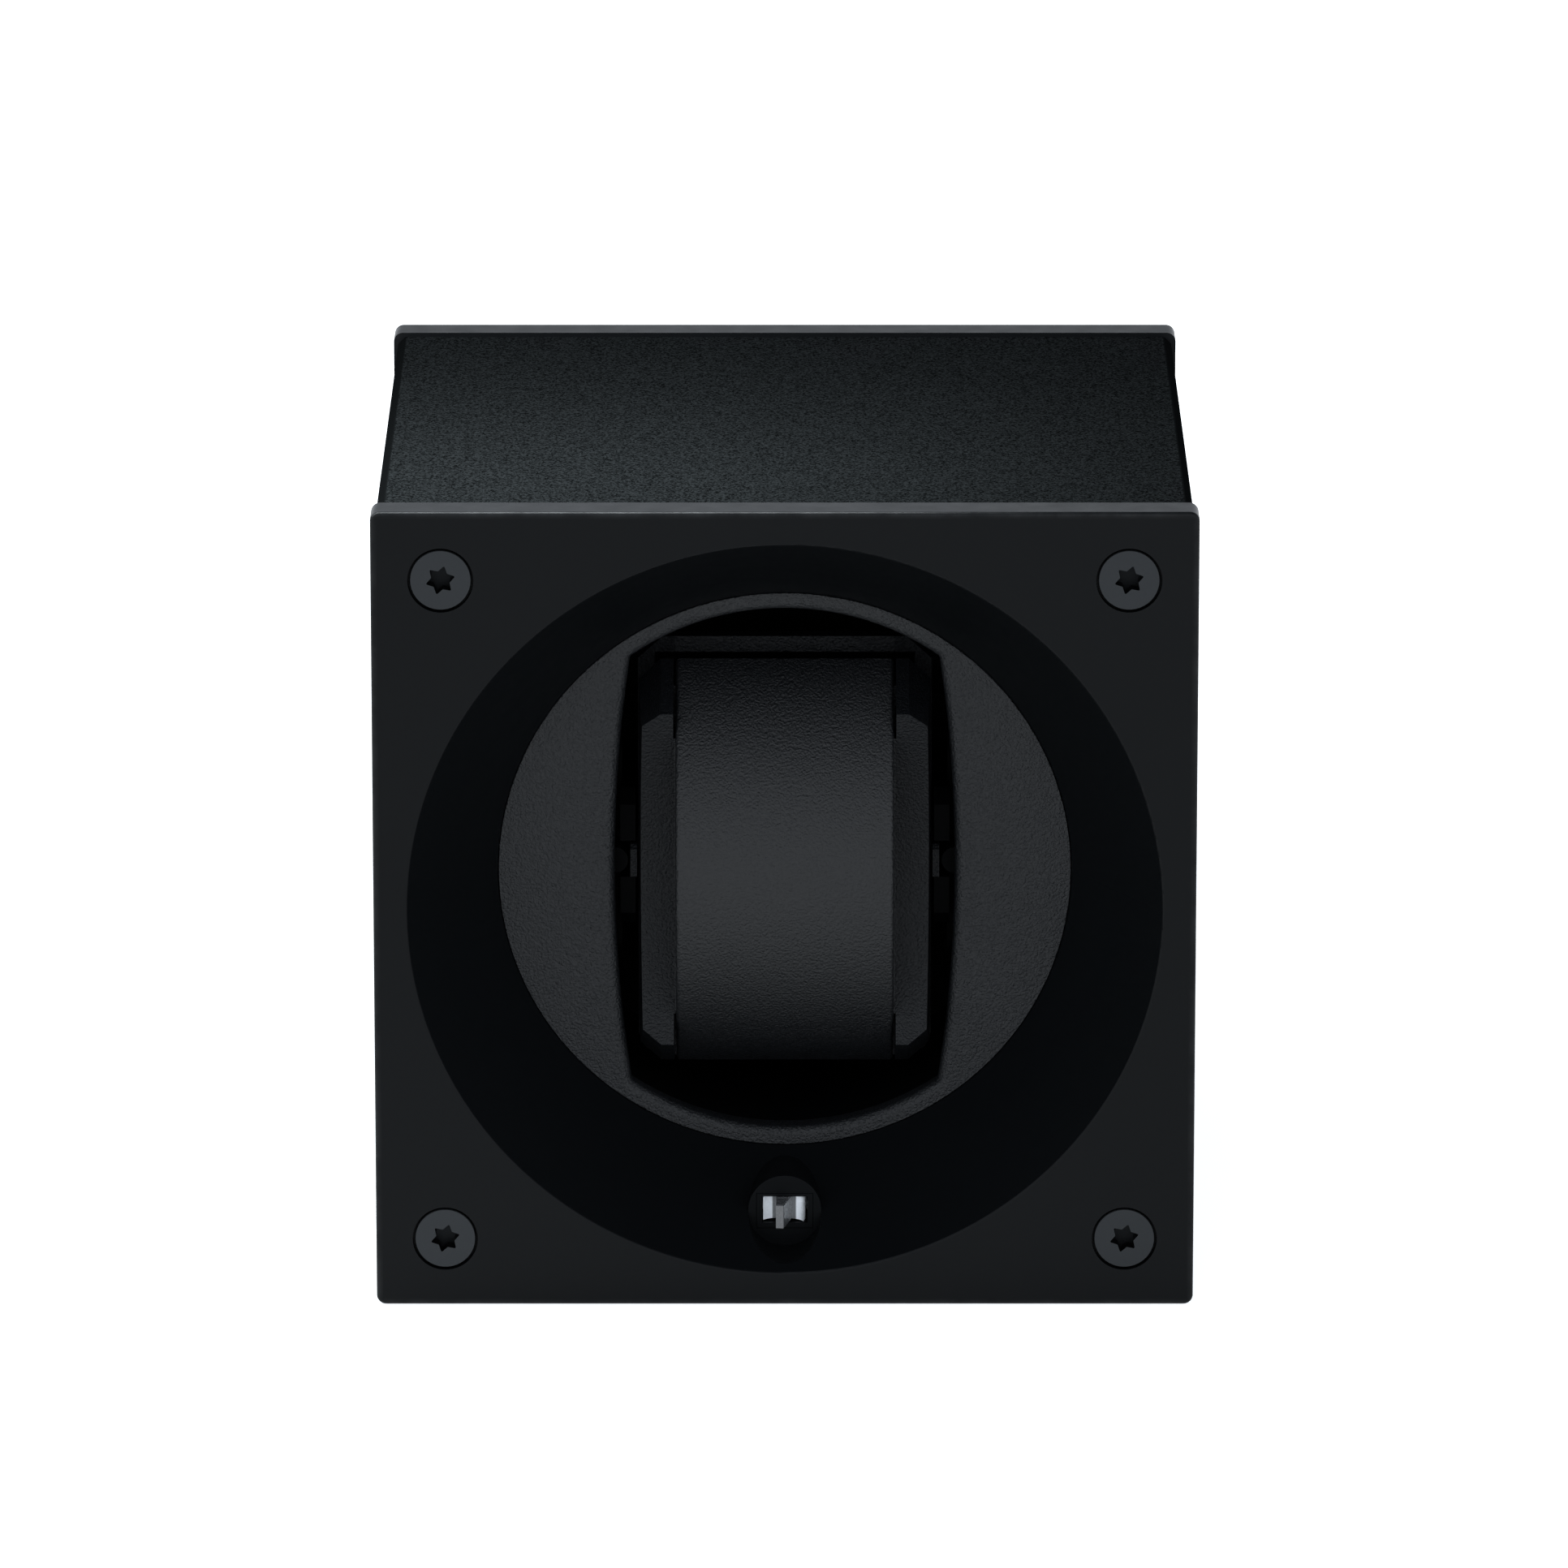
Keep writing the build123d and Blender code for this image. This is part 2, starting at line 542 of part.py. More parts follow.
with BuildPart() as axle_spacer:
    ring(4.2, AXLE_R + 0.03, HUB_END, BEARING_START)
save(axle_spacer, "axle_spacer")

with BuildPart() as axle_clip:
    ring(5.2, 2.33, HOUSING_END + 0.6, HOUSING_END + 1.2)
    # open side of the clip
    block(3.2, 8, HOUSING_END, HOUSING_END + 2, centre=(0, -4), mode=Mode.SUBTRACT)
save(axle_clip, "axle_clip")

BEARINGS = [BEARING_START, BEARING_START + BEARING_T + SHOULDER_T]
BALL_R, BALL_PITCH_R, BALLS = 0.8, 4.75, 9

with BuildPart() as bearing_outer_rings:
    for start in BEARINGS:
        ring(BEARING_R, BALL_PITCH_R + BALL_R + 0.02, start, start + BEARING_T)
save(bearing_outer_rings, "bearing_outer_rings")

with BuildPart() as bearing_inner_rings:
    for start in BEARINGS:
        ring(BALL_PITCH_R - BALL_R - 0.02, AXLE_R + 0.03, start, start + BEARING_T)
save(bearing_inner_rings, "bearing_inner_rings")

with BuildPart() as bearing_balls:
    for start in BEARINGS:
        with Locations(across(start + BEARING_T / 2)):
            with PolarLocations(BALL_PITCH_R, BALLS):
                Sphere(BALL_R)
save(bearing_balls, "bearing_balls")


# ---------------------------------------------------------------- chassis and motor
MOTOR_SCREWS = [(MOTOR_X + s * 5.0 * cos(radians(40)), MOTOR_Z + s * 5.0 * sin(radians(40))) for s in (-1, 1)]
CABLE_NOTCH = (12.0, -46.6)
SENSOR_HOLE_Z = MAGNET_Z + 9.0

with BuildPart() as chassis:
    with BuildSketch(across(CHASSIS_DEPTH)):
        RectangleRounded(2 * CHASSIS_HALF, 2 * CHASSIS_HALF, 2.0)
        with GridLocations(SCREW_PITCH, SCREW_PITCH, 2, 2):
            Circle(CHANNEL_R + 0.8, mode=Mode.SUBTRACT)
        with GridLocations(2 * CHASSIS_HALF, 2 * CHASSIS_HALF, 2, 2):
            Rectangle(2 * (CHASSIS_HALF - SCREW_PITCH / 2), 2 * (CHASSIS_HALF - SCREW_PITCH / 2),
                      mode=Mode.SUBTRACT)
        # lightening windows round the bearing housing
        with PolarLocations(24.0, 6, start_angle=30):
            SlotOverall(16.0, 9.0, rotation=90, mode=Mode.SUBTRACT)
        with Locations(CABLE_NOTCH):
            Rectangle(5.0, 5.0, mode=Mode.SUBTRACT)
        with Locations((0, SENSOR_HOLE_Z)):
            Circle(1.2, mode=Mode.SUBTRACT)
    extrude(amount=-CHASSIS_T)
    ring(HUB_R, 0, BEARING_START, HOUSING_END)
    # ribs from the bearing housing
    for turn in (0, 60, 120):
        with BuildSketch(across(CHASSIS_DEPTH + CHASSIS_T)):
            Rectangle(52.0, 1.6, rotation=turn)
        extrude(amount=-3.0)
    ring(5.0, 0, BEARING_START - 1, HOUSING_END + 1, mode=Mode.SUBTRACT)
    for start in BEARINGS:
        ring(BEARING_R + 0.02, 0, start - (1 if start == BEARING_START else 0),
             start + BEARING_T + (0 if start == BEARING_START else 1), mode=Mode.SUBTRACT)
    ring(3.1, 0, CHASSIS_DEPTH - 1, CHASSIS_DEPTH + CHASSIS_T + 1, centre=MOTOR_AT, mode=Mode.SUBTRACT)
    for x, z in MOTOR_SCREWS:
        ring(1.15, 0, CHASSIS_DEPTH - 1, CHASSIS_DEPTH + CHASSIS_T + 1, centre=(x, z), mode=Mode.SUBTRACT)
    for x, z in corners(POST_XZ):
        ring(1.6, 0, CHASSIS_DEPTH - 1, CHASSIS_DEPTH + CHASSIS_T + 1, centre=(x, z), mode=Mode.SUBTRACT)
save(chassis, "chassis")

with BuildPart() as chassis_posts:
    for x, z in corners(POST_XZ):
        with BuildSketch(across(POST_START, x, z)):
            RegularPolygon(POST_R, 6)
        extrude(amount=POST_START - CHASSIS_DEPTH)
        ring(1.25, 0, PLATE_T - 1, POST_START, centre=(x, z))
        ring(1.25, 0, CHASSIS_DEPTH - 8, CHASSIS_DEPTH + 1, centre=(x, z), mode=Mode.SUBTRACT)
save(chassis_posts, "chassis_posts")

with BuildPart(behind(CHASSIS_DEPTH + CHASSIS_T)) as chassis_screws:
    with GridLocations(2 * POST_XZ, 2 * POST_XZ, 2, 2):
        add(post_screw)
save(chassis_screws, "chassis_screws")

GASKET_END = CHASSIS_DEPTH + CHASSIS_T + 1.0
GEARBOX_END = GASKET_END + 12.0
CAN_END = GEARBOX_END + 17.0
GEARBOX_R, CAN_R = 8.0, 7.7

with BuildPart() as motor_gasket:
    ring(GEARBOX_R, 3.2, GASKET_END - 1.0, GASKET_END, centre=MOTOR_AT)
    for x, z in MOTOR_SCREWS:
        ring(1.15, 0, GASKET_END - 2, GASKET_END + 1, centre=(x, z), mode=Mode.SUBTRACT)
save(motor_gasket, "motor_gasket")

with BuildPart() as motor_gearbox:
    ring(GEARBOX_R, 0, GASKET_END, GEARBOX_END, centre=MOTOR_AT)
    fillet(edges().filter_by(GeomType.CIRCLE).group_by(Axis.Y)[-1], 0.4)
    ring(3.0, 0, CHASSIS_DEPTH + 0.8, GASKET_END, centre=MOTOR_AT)
    # parting lines of the gearbox's stacked plates
    for depth in (GASKET_END + 3.0, GASKET_END + 8.0):
        ring(GEARBOX_R + 1, GEARBOX_R - 0.3, depth, depth + 0.3, centre=MOTOR_AT, mode=Mode.SUBTRACT)
    ring(1.5 + 0.03, 0, CHASSIS_DEPTH, GASKET_END + 8, centre=MOTOR_AT, mode=Mode.SUBTRACT)
    for x, z in MOTOR_SCREWS:
        ring(0.95, 0, GASKET_END - 1, GASKET_END + 4, centre=(x, z), mode=Mode.SUBTRACT)
save(motor_gearbox, "motor_gearbox")

with BuildPart() as motor_can:
    ring(CAN_R, 0, GEARBOX_END, CAN_END, centre=MOTOR_AT)
    fillet(edges().filter_by(GeomType.CIRCLE).group_by(Axis.Y)[-1], 1.2)
    ring(2.6, 0, CAN_END, CAN_END + 0.9, centre=MOTOR_AT)
save(motor_can, "motor_can")

with BuildPart() as motor_terminals:
    for sign in (-1, 1):
        block(1.6, 0.4, CAN_END, CAN_END + 1.8, centre=(MOTOR_X + sign * 4.6, MOTOR_Z))
save(motor_terminals, "motor_terminals")

with BuildPart() as motor_shaft:
    ring(1.5, 0, PINION_START, GASKET_END + 7.5, centre=MOTOR_AT)
    chamfer(edges().group_by(Axis.Y)[0], 0.25)
save(motor_shaft, "motor_shaft")

with BuildPart() as motor_screws:
    with Locations(across(CHASSIS_DEPTH)):
        with Locations(*MOTOR_SCREWS):
            add(motor_screw)
save(motor_screws, "motor_screws")

with BuildPart() as hall_sensor:
    block(9.0, 7.0, CHASSIS_DEPTH - 1.0, CHASSIS_DEPTH, centre=(0, MAGNET_Z + 7))
    block(3.0, 3.0, CHASSIS_DEPTH - 2.2, CHASSIS_DEPTH - 1.0, centre=(0, MAGNET_Z + 5.4))
save(hall_sensor, "hall_sensor")


# ---------------------------------------------------------------- direction switch
BEZEL_END = 15.5
CAVITY_W, CAVITY_H = 6.3, 3.7

with BuildPart() as switch_bezel:
    block(BEZEL_W, BEZEL_H, BOSS_FACE, BEZEL_END, centre=(0, BOSS_Z))
    chamfer(edges().group_by(Axis.Y)[0], 0.03)
    block(OPENING_W, OPENING_H, BOSS_FACE - 1, BOSS_FACE + 0.6, centre=(0, OPENING_Z), mode=Mode.SUBTRACT)
    block(CAVITY_W, CAVITY_H, BOSS_FACE + 0.5, BEZEL_END + 1, centre=(0, BOSS_Z + 0.1), mode=Mode.SUBTRACT)
    # upright pivot hole, through the top wall only
    with BuildSketch(Plane.XY.offset(AXIS_Z + BOSS_Z)):
        with Locations((0, ROCKER_PIVOT - HALF)):
            Circle(0.55)
    extrude(amount=4, both=True, mode=Mode.SUBTRACT)
save(switch_bezel, "switch_bezel")

ROCKER_H = 3.2
# outline in plan, before it is tilted: x across, then depth
ROCKER_EDGE_X, ROCKER_EDGE_DEPTH = 2.6, 9.45
FIN_ROOT, FIN_END = 1.0, 0.5

with BuildPart() as switch_rocker:
    middle = AXIS_Z + OPENING_Z
    tilt = Plane(origin=(0, ROCKER_PIVOT - HALF, middle - ROCKER_H / 2),
                 x_dir=(cos(radians(-ROCKER_TILT)), sin(radians(-ROCKER_TILT)), 0), z_dir=(0, 0, 1))
    edge_y = ROCKER_EDGE_DEPTH - ROCKER_PIVOT
    with BuildSketch(tilt):
        with BuildLine():
            ThreePointArc((-ROCKER_EDGE_X, edge_y), (-1.9, edge_y + 0.75), (-FIN_ROOT, edge_y + 1.1))
            Line((-FIN_ROOT, edge_y + 1.1), (-FIN_END, FIN_TIP - ROCKER_PIVOT))
            Line((-FIN_END, FIN_TIP - ROCKER_PIVOT), (FIN_END, FIN_TIP - ROCKER_PIVOT))
            Line((FIN_END, FIN_TIP - ROCKER_PIVOT), (FIN_ROOT, edge_y + 1.1))
            ThreePointArc((FIN_ROOT, edge_y + 1.1), (1.9, edge_y + 0.75), (ROCKER_EDGE_X, edge_y))
            Line((ROCKER_EDGE_X, edge_y), (ROCKER_EDGE_X, edge_y + 0.5))
            ThreePointArc((ROCKER_EDGE_X, edge_y + 0.5), (0, 2.4), (-ROCKER_EDGE_X, edge_y + 0.5))
            Line((-ROCKER_EDGE_X, edge_y + 0.5), (-ROCKER_EDGE_X, edge_y))
        make_face()
    extrude(amount=ROCKER_H)
    fillet(edges().filter_by(Axis.Z).group_by(Axis.Y)[0], 0.15)
    chamfer(faces().sort_by(Axis.Y)[0].edges().filter_by(Axis.Z, reverse=True), 0.12)
    with BuildSketch(Plane(origin=(0, ROCKER_PIVOT - HALF, middle - ROCKER_H / 2 - 0.55))):
        Circle(0.5)
    extrude(amount=ROCKER_H + 1.0)
save(switch_rocker, "switch_rocker")

with BuildPart() as light_guide:
    block(4.4, 2.6, BEZEL_END - 1.5, BOARD_DEPTH - 0.9, centre=(0, BOSS_Z))
    chamfer(edges().group_by(Axis.Y)[0], 0.3)
    block(BEZEL_W - 0.2, BEZEL_H - 0.2, BEZEL_END + SLIP, BEZEL_END + 1.2, centre=(0, BOSS_Z))
save(light_guide, "light_guide")

with BuildPart() as switch_board:
    block(22.0, 8.0, BOARD_DEPTH, BOARD_DEPTH + 1.2, centre=(0, BOSS_Z - 1.5))
    for x in (-8.6, 8.6):
        ring(1.1, 0, BOARD_DEPTH - 1, BOARD_DEPTH + 2, centre=(x, BOSS_Z - 2.4), mode=Mode.SUBTRACT)
save(switch_board, "switch_board")

with BuildPart() as status_led:
    block(1.8, 1.2, BOARD_DEPTH - 0.8, BOARD_DEPTH, centre=(0, BOSS_Z))
save(status_led, "status_led")

with BuildPart(behind(BOARD_DEPTH + 1.2)) as switch_board_screws:
    with Locations((-8.6, BOSS_Z - 2.4), (8.6, BOSS_Z - 2.4)):
        add(led_board_screw)
save(switch_board_screws, "switch_board_screws")


# ---------------------------------------------------------------- strap holder
def bow_radius(apex, edge, half_height):
    rise = abs(edge - apex)
    return (half_height ** 2 + rise ** 2) / (2 * rise)


def bow(apex, edge, half_height):
    """Circular segment in the side profile, from its chord at edge to its apex on the axis."""
    with BuildLine() as arc:
        ThreePointArc((edge, half_height), (apex, 0), (edge, -half_height))
        Line((edge, -half_height), (edge, half_height))
    make_face(arc.edges())


def wing_outline(inner, outer, half_height, cut_x, cut_z):
    return [(inner, -half_height), (outer - cut_x, -half_height), (outer, -half_height + cut_z),
            (outer, half_height - cut_z), (outer - cut_x, half_height), (inner, half_height)]


def band_depth(z):
    radius = bow_radius(BAND_APEX, HOLDER_SPLIT, BAND_TOP)
    return BAND_APEX + radius - sqrt(radius ** 2 - z ** 2)


SKIRT_X, SKIRT_Z, SKIRT_END = 16.2, 22.8, 32.2
SKIN = 2.0
GROOVE = 0.3
WEB_Z = 18.2

with BuildPart() as holder_wings:
    for sign in (-1, 1):
        # a wing beside the band, tapering out to the rear
        front = wing_outline(BAND_HALF + GROOVE, WING_FRONT_X, WING_FRONT_Z, 2.3, 2.2)
        rear = wing_outline(BAND_HALF + GROOVE, WING_REAR_X, BAND_TOP, 2.8, 2.6)
        with BuildSketch(across(WING_FRONT)):
            outline([(sign * x, z) for x, z in front])
        with BuildSketch(across(HOLDER_SPLIT)):
            outline([(sign * x, z) for x, z in rear])
        loft(ruled=True)
        # webs that join the wing to the band; they leave a groove above and below
        web = sign * (BAND_HALF + GROOVE / 2)
        block(GROOVE + 0.8, 2 * WEB_Z, WING_FRONT, HOLDER_SPLIT, centre=(web, 0))
        block(GROOVE + 0.8, 2 * (BAND_TOP - 2.9), HOLDER_SPLIT - 2.7, HOLDER_SPLIT, centre=(web, 0))
    # the fronts of the wings are hollowed, so the watch case clears them
    with BuildSketch(PROFILE.offset(-HALF)):
        bow(WING_FRONT + WING_DISH, WING_FRONT - 0.01, WING_FRONT_Z + 0.1)
    extrude(amount=SIDE, mode=Mode.SUBTRACT)

with BuildPart() as holder_front:
    # curved band
    with BuildSketch(PROFILE.offset(-BAND_HALF)):
        bow(BAND_APEX, HOLDER_SPLIT, BAND_TOP)
    extrude(amount=2 * BAND_HALF)
    fillet(edges().filter_by(GeomType.CIRCLE), 0.5)
    add(holder_wings)
    # skirt that slides into the rear half
    block(2 * SKIRT_X, 2 * SKIRT_Z, HOLDER_SPLIT, SKIRT_END)
    # hollow the whole half from behind
    with BuildSketch(PROFILE.offset(-BAND_HALF + SKIN)):
        bow(BAND_APEX + SKIN, HOLDER_SPLIT, BAND_TOP - SKIN - 0.4)
    extrude(amount=2 * (BAND_HALF - SKIN), mode=Mode.SUBTRACT)
    block(2 * (SKIRT_X - 1.6), 2 * (SKIRT_Z - 1.6), HOLDER_SPLIT - 1.0, SKIRT_END + 1, mode=Mode.SUBTRACT)
    # sockets for the guide rods
    for sign in (-1, 1):
        ring(SOCKET_R, 0, band_depth(ROD_Z + SOCKET_R) + 0.6, 22.0, centre=(0, sign * ROD_Z))
        ring(ROD_R, 0, ROD_START, 23.0, centre=(0, sign * ROD_Z), mode=Mode.SUBTRACT)
save(holder_front, "holder_front")

GUIDE_START, GUIDE_END = 34.9, 37.4
TAB_IN, TAB_OUT = 18.95, 19.8

with BuildPart() as holder_rear:
    # frame plate with clipped corners
    with BuildSketch(across(REAR_FRAME_DEPTH)):
        half = [(x, z) for x, z in wing_outline(0, REAR_X, REAR_Z, 3.2, 2.9)]
        outline(half + [(-x, -z) for x, z in half[1:-1]])
        Rectangle(2 * REAR_OPEN_X, 2 * REAR_OPEN_Z, mode=Mode.SUBTRACT)
    extrude(amount=-REAR_FRAME_T)
    # curved back shell
    edge = REAR_FRAME_DEPTH + REAR_FRAME_T
    with BuildSketch(PROFILE.offset(-REAR_X + 0.4)):
        bow(REAR_APEX, edge, REAR_Z)
    extrude(amount=2 * (REAR_X - 0.4))
    fillet(edges().filter_by(GeomType.CIRCLE), 1.2)
    with BuildSketch(PROFILE.offset(-REAR_OPEN_X)):
        bow(REAR_APEX - SKIN, edge - 0.01, REAR_OPEN_Z)
    extrude(amount=2 * REAR_OPEN_X, mode=Mode.SUBTRACT)
    # bridge with the guide bores, tied to the shell by a rib
    block(8.0, 2 * (ROD_Z + 3.4), GUIDE_START, GUIDE_END)
    block(28.0, 3.0, GUIDE_START, REAR_APEX - SKIN + 0.6)
    for sign in (-1, 1):
        ring(ROD_R + 0.05, 0, GUIDE_START - 1, GUIDE_END + 1, centre=(0, sign * ROD_Z), mode=Mode.SUBTRACT)
    # side tabs that run between the drum's rails and are held by the ball plungers
    for sign in (-1, 1):
        tab = [(24.0, -2.1), (edge + 3, -2.1), (edge + 3, 2.1), (24.6, 2.1), (24.0, 1.5)]
        with BuildSketch(PROFILE.offset(sign * (TAB_IN + TAB_OUT) / 2)):
            outline(tab)
        extrude(amount=(TAB_OUT - TAB_IN) / 2, both=True)
        block(1.9, 4.2, REAR_FRAME_DEPTH, edge + 3, centre=(sign * (TAB_OUT - 0.95), 0))
save(holder_rear, "holder_rear")

with BuildPart() as holder_rods:
    for sign in (-1, 1):
        ring(ROD_R, 0, ROD_START, GUIDE_END + 1.2, centre=(0, sign * ROD_Z))
    chamfer(edges().group_by(Axis.Y)[-1], 0.3)
save(holder_rods, "holder_rods")

with BuildPart() as rod_washers:
    for sign in (-1, 1):
        ring(2.7, ROD_R, GUIDE_END + 0.05, GUIDE_END + 0.75, centre=(0, sign * ROD_Z))
save(rod_washers, "rod_washers")


def coil(mean_r, wire_r, height, turns):
    """Compression spring of the given overall height, standing on z = 0."""
    bottom = Plane.XY.offset(wire_r)
    with BuildPart() as spring:
        with BuildLine(bottom) as path:
            Helix(pitch=(height - 2 * wire_r) / turns, height=height - 2 * wire_r, radius=mean_r)
        with BuildSketch(Plane(origin=path.line @ 0, z_dir=path.line % 0)):
            Circle(wire_r)
        sweep(path=path.line, is_frenet=True)
    return spring.part


SPRING_START, SPRING_END = 22.05, GUIDE_START - SLIP

holder_spring = coil(2.3, 0.3, SPRING_END - SPRING_START, 6)

with BuildPart() as holder_springs:
    for sign in (-1, 1):
        with Locations(behind(SPRING_START, 0, sign * ROD_Z)):
            add(holder_spring)
save(holder_springs, "holder_springs")


# ---------------------------------------------------------------- power
BAY_LOW, BAY_HIGH = TRAY_Z - TRAY_HALF_Z + TRAY_WALL, TRAY_Z + TRAY_HALF_Z - TRAY_WALL
CELL_LOW = BAY_LOW + 4.6

with BuildPart() as battery_tray:
    block(2 * TRAY_X, 2 * TRAY_HALF_Z, TRAY_START, REAR_INNER, centre=(0, TRAY_Z))
    fillet(edges().filter_by(Axis.Y), 1.0)
    block(2 * (TRAY_X - TRAY_WALL), 2 * (TRAY_HALF_Z - TRAY_WALL), TRAY_START + TRAY_WALL,
          REAR_INNER + 1, centre=(0, TRAY_Z), mode=Mode.SUBTRACT)
    # cradling ribs between and beside the cells
    for z in (TRAY_Z - 15, TRAY_Z + 15):
        block(2 * (TRAY_X - TRAY_WALL), 1.6, TRAY_START + TRAY_WALL, CELL_DEPTH - 2, centre=(0, z))
    for x in (-CELL_X, CELL_X):
        with BuildSketch(Plane.XY.offset(AXIS_Z + BAY_LOW)):
            with Locations((x, CELL_DEPTH - HALF)):
                Circle(CELL_R + 0.15)
        extrude(amount=BAY_HIGH - BAY_LOW, mode=Mode.SUBTRACT)
    for x, z in TRAY_EARS:
        block(8.0, 5.4, REAR_INNER - 2.2, REAR_INNER, centre=(x, z))
        ring(1.2, 0, REAR_INNER - 4, REAR_INNER + 1, centre=(x, z), mode=Mode.SUBTRACT)
save(battery_tray, "battery_tray")

with BuildPart() as tray_screws:
    with Locations(across(REAR_INNER - 2.2)):
        with Locations(*TRAY_EARS):
            add(ear_screw)
save(tray_screws, "tray_screws")


def round_cell():
    """C-size cell standing on z = 0: sleeved body, crimped ends and the raised positive cap."""
    r, h = CELL_R, CELL_LENGTH
    with BuildPart() as body:
        with BuildSketch(Plane.XZ):
            outline([(0, 0.3), (r - 2.2, 0.3), (r - 2.0, 0), (r - 0.5, 0), (r, 0.5), (r, h - 0.6),
                     (r - 0.6, h), (r - 2.2, h), (r - 2.4, h - 0.4), (3.2, h - 0.4),
                     (3.2, h + 1.1), (2.9, h + 1.4), (0, h + 1.4)])
        revolve(axis=Axis.Z)
    return body.part


def upright(x, z, upward):
    """Plane square to a cell's axis, at height z above the spin axis."""
    return Plane(origin=(x, CELL_DEPTH - HALF, AXIS_Z + z), x_dir=(1, 0, 0),
                 z_dir=(0, 0, 1 if upward else -1))


c_cell = round_cell()

with BuildPart() as battery_left:
    with Locations(upright(-CELL_X, CELL_LOW, True)):
        add(c_cell)
save(battery_left, "battery_left")

with BuildPart() as battery_right:
    with Locations(upright(CELL_X, CELL_LOW + CELL_LENGTH, False)):
        add(c_cell)
save(battery_right, "battery_right")

CONTACT_W = 16.0
CONTACT_T = 0.5                # thickness of a contact plate


def contact_plate(x, z):
    block(CONTACT_W, CONTACT_T, CELL_DEPTH - 8, CELL_DEPTH + 8, centre=(x, z))


with BuildPart() as contact_plates:
    low, high = BAY_LOW + CONTACT_T / 2, BAY_HIGH - CONTACT_T / 2
    contact_plate(-CELL_X, low)
    contact_plate(CELL_X, low)
    # the bridge that puts the two cells in series
    block(2 * CELL_X + CONTACT_W, CONTACT_T, CELL_DEPTH - 8, CELL_DEPTH + 8, centre=(0, high))
save(contact_plates, "contact_plates")


SPRING_LOW = BAY_LOW + CONTACT_T + SLIP
SPRING_HIGH = BAY_HIGH - CONTACT_T - SLIP
low_spring = coil(5.0, 0.45, CELL_LOW - SLIP - SPRING_LOW, 3)
high_spring = coil(5.0, 0.45, SPRING_HIGH - CELL_LOW - CELL_LENGTH - SLIP, 3)

with BuildPart() as contact_springs:
    with Locations(upright(-CELL_X, SPRING_LOW, True)):
        add(low_spring)
    with Locations(upright(CELL_X, SPRING_HIGH, False)):
        add(high_spring)
save(contact_springs, "contact_springs")

with BuildPart() as battery_cover:
    with BuildSketch(behind(SIDE, z=TRAY_Z)):
        RectangleRounded(2 * (COVER_X - COVER_GAP), 2 * (COVER_Z - COVER_GAP), 2.8)
    extrude(amount=-COVER_T + COVER_GAP)
    chamfer(edges().group_by(Axis.Y)[-1], 0.3)
    # pads that press on the cells
    for x in (-CELL_X, CELL_X):
        block(8.0, 36.0, CELL_DEPTH + CELL_R + 0.6, SIDE - COVER_T + COVER_GAP, centre=(x, TRAY_Z))
    for x, z in COVER_FASTENERS:
        ring(FASTENER_R + 0.1, 0, SIDE - 1.1, SIDE + 1, centre=(x, z), mode=Mode.SUBTRACT)
        ring(1.7, 0, SIDE - COVER_T - 1, SIDE + 1, centre=(x, z), mode=Mode.SUBTRACT)
save(battery_cover, "battery_cover")


def coin_fastener(x, z):
    """Captive fastener with a coin slot, flush in the cover."""
    ring(FASTENER_R, 0, SIDE - 1.0, SIDE - 0.1, centre=(x, z))
    chamfer(edges().group_by(Axis.Y)[-1], 0.2)
    ring(1.5, 0, REAR_INNER + 0.2, SIDE - 1.0, centre=(x, z))
    block(5.2, 1.0, SIDE - 0.6, SIDE + 1, centre=(x, z), mode=Mode.SUBTRACT)


with BuildPart() as cover_fastener_upper:
    coin_fastener(*COVER_FASTENERS[0])
save(cover_fastener_upper, "cover_fastener_upper")

with BuildPart() as cover_fastener_lower:
    coin_fastener(*COVER_FASTENERS[1])
save(cover_fastener_lower, "cover_fastener_lower")


# ---------------------------------------------------------------- control electronics
BOARD_MID = (BOARD_LOW + BOARD_HIGH) / 2
BOARD_FRONT = MAIN_BOARD_DEPTH

with BuildPart() as control_board:
    block(2 * BOARD_X, BOARD_HIGH - BOARD_LOW, BOARD_FRONT, BOARD_FRONT + BOARD_T, centre=(0, BOARD_MID))
    for x, z in BOARD_SCREWS:
        ring(1.2, 0, BOARD_FRONT - 1, BOARD_FRONT + BOARD_T + 1, centre=(x, z), mode=Mode.SUBTRACT)
save(control_board, "control_board")

with BuildPart() as control_board_screws:
    with Locations(across(BOARD_FRONT)):
        with Locations(*BOARD_SCREWS):
            add(board_screw)
save(control_board_screws, "control_board_screws")

with BuildPart() as board_chips:
    for width, height, thick, x, z in ((7.0, 7.0, 1.0, -5.0, -41.0), (5.0, 4.0, 1.2, 8.0, -42.0),
                                       (3.0, 3.0, 1.0, 14.5, -36.0), (2.0, 1.25, 0.6, 4.0, -35.5),
                                       (2.0, 1.25, 0.6, 4.0, -37.8), (3.2, 1.6, 0.8, -13.5, -36.0)):
        block(width, height, BOARD_FRONT - thick, BOARD_FRONT, centre=(x, z))
save(board_chips, "board_chips")

with BuildPart() as board_capacitor:
    ring(3.15, 0, BOARD_FRONT - 7.7, BOARD_FRONT, centre=(-20.0, -41.5))
    fillet(edges().filter_by(GeomType.CIRCLE).group_by(Axis.Y)[0], 0.4)
save(board_capacitor, "board_capacitor")

CONNECTORS = {"motor": (27.0, -39.5, 6.0), "battery": (-27.0, -39.5, 6.0),
              "switch": (19.0, -44.2, 7.5), "sensor": (-12.0, -44.8, 6.0)}

with BuildPart() as board_connectors:
    for x, z, width in CONNECTORS.values():
        block(width, 3.6, BOARD_FRONT - 4.5, BOARD_FRONT, centre=(x, z))
save(board_connectors, "board_connectors")

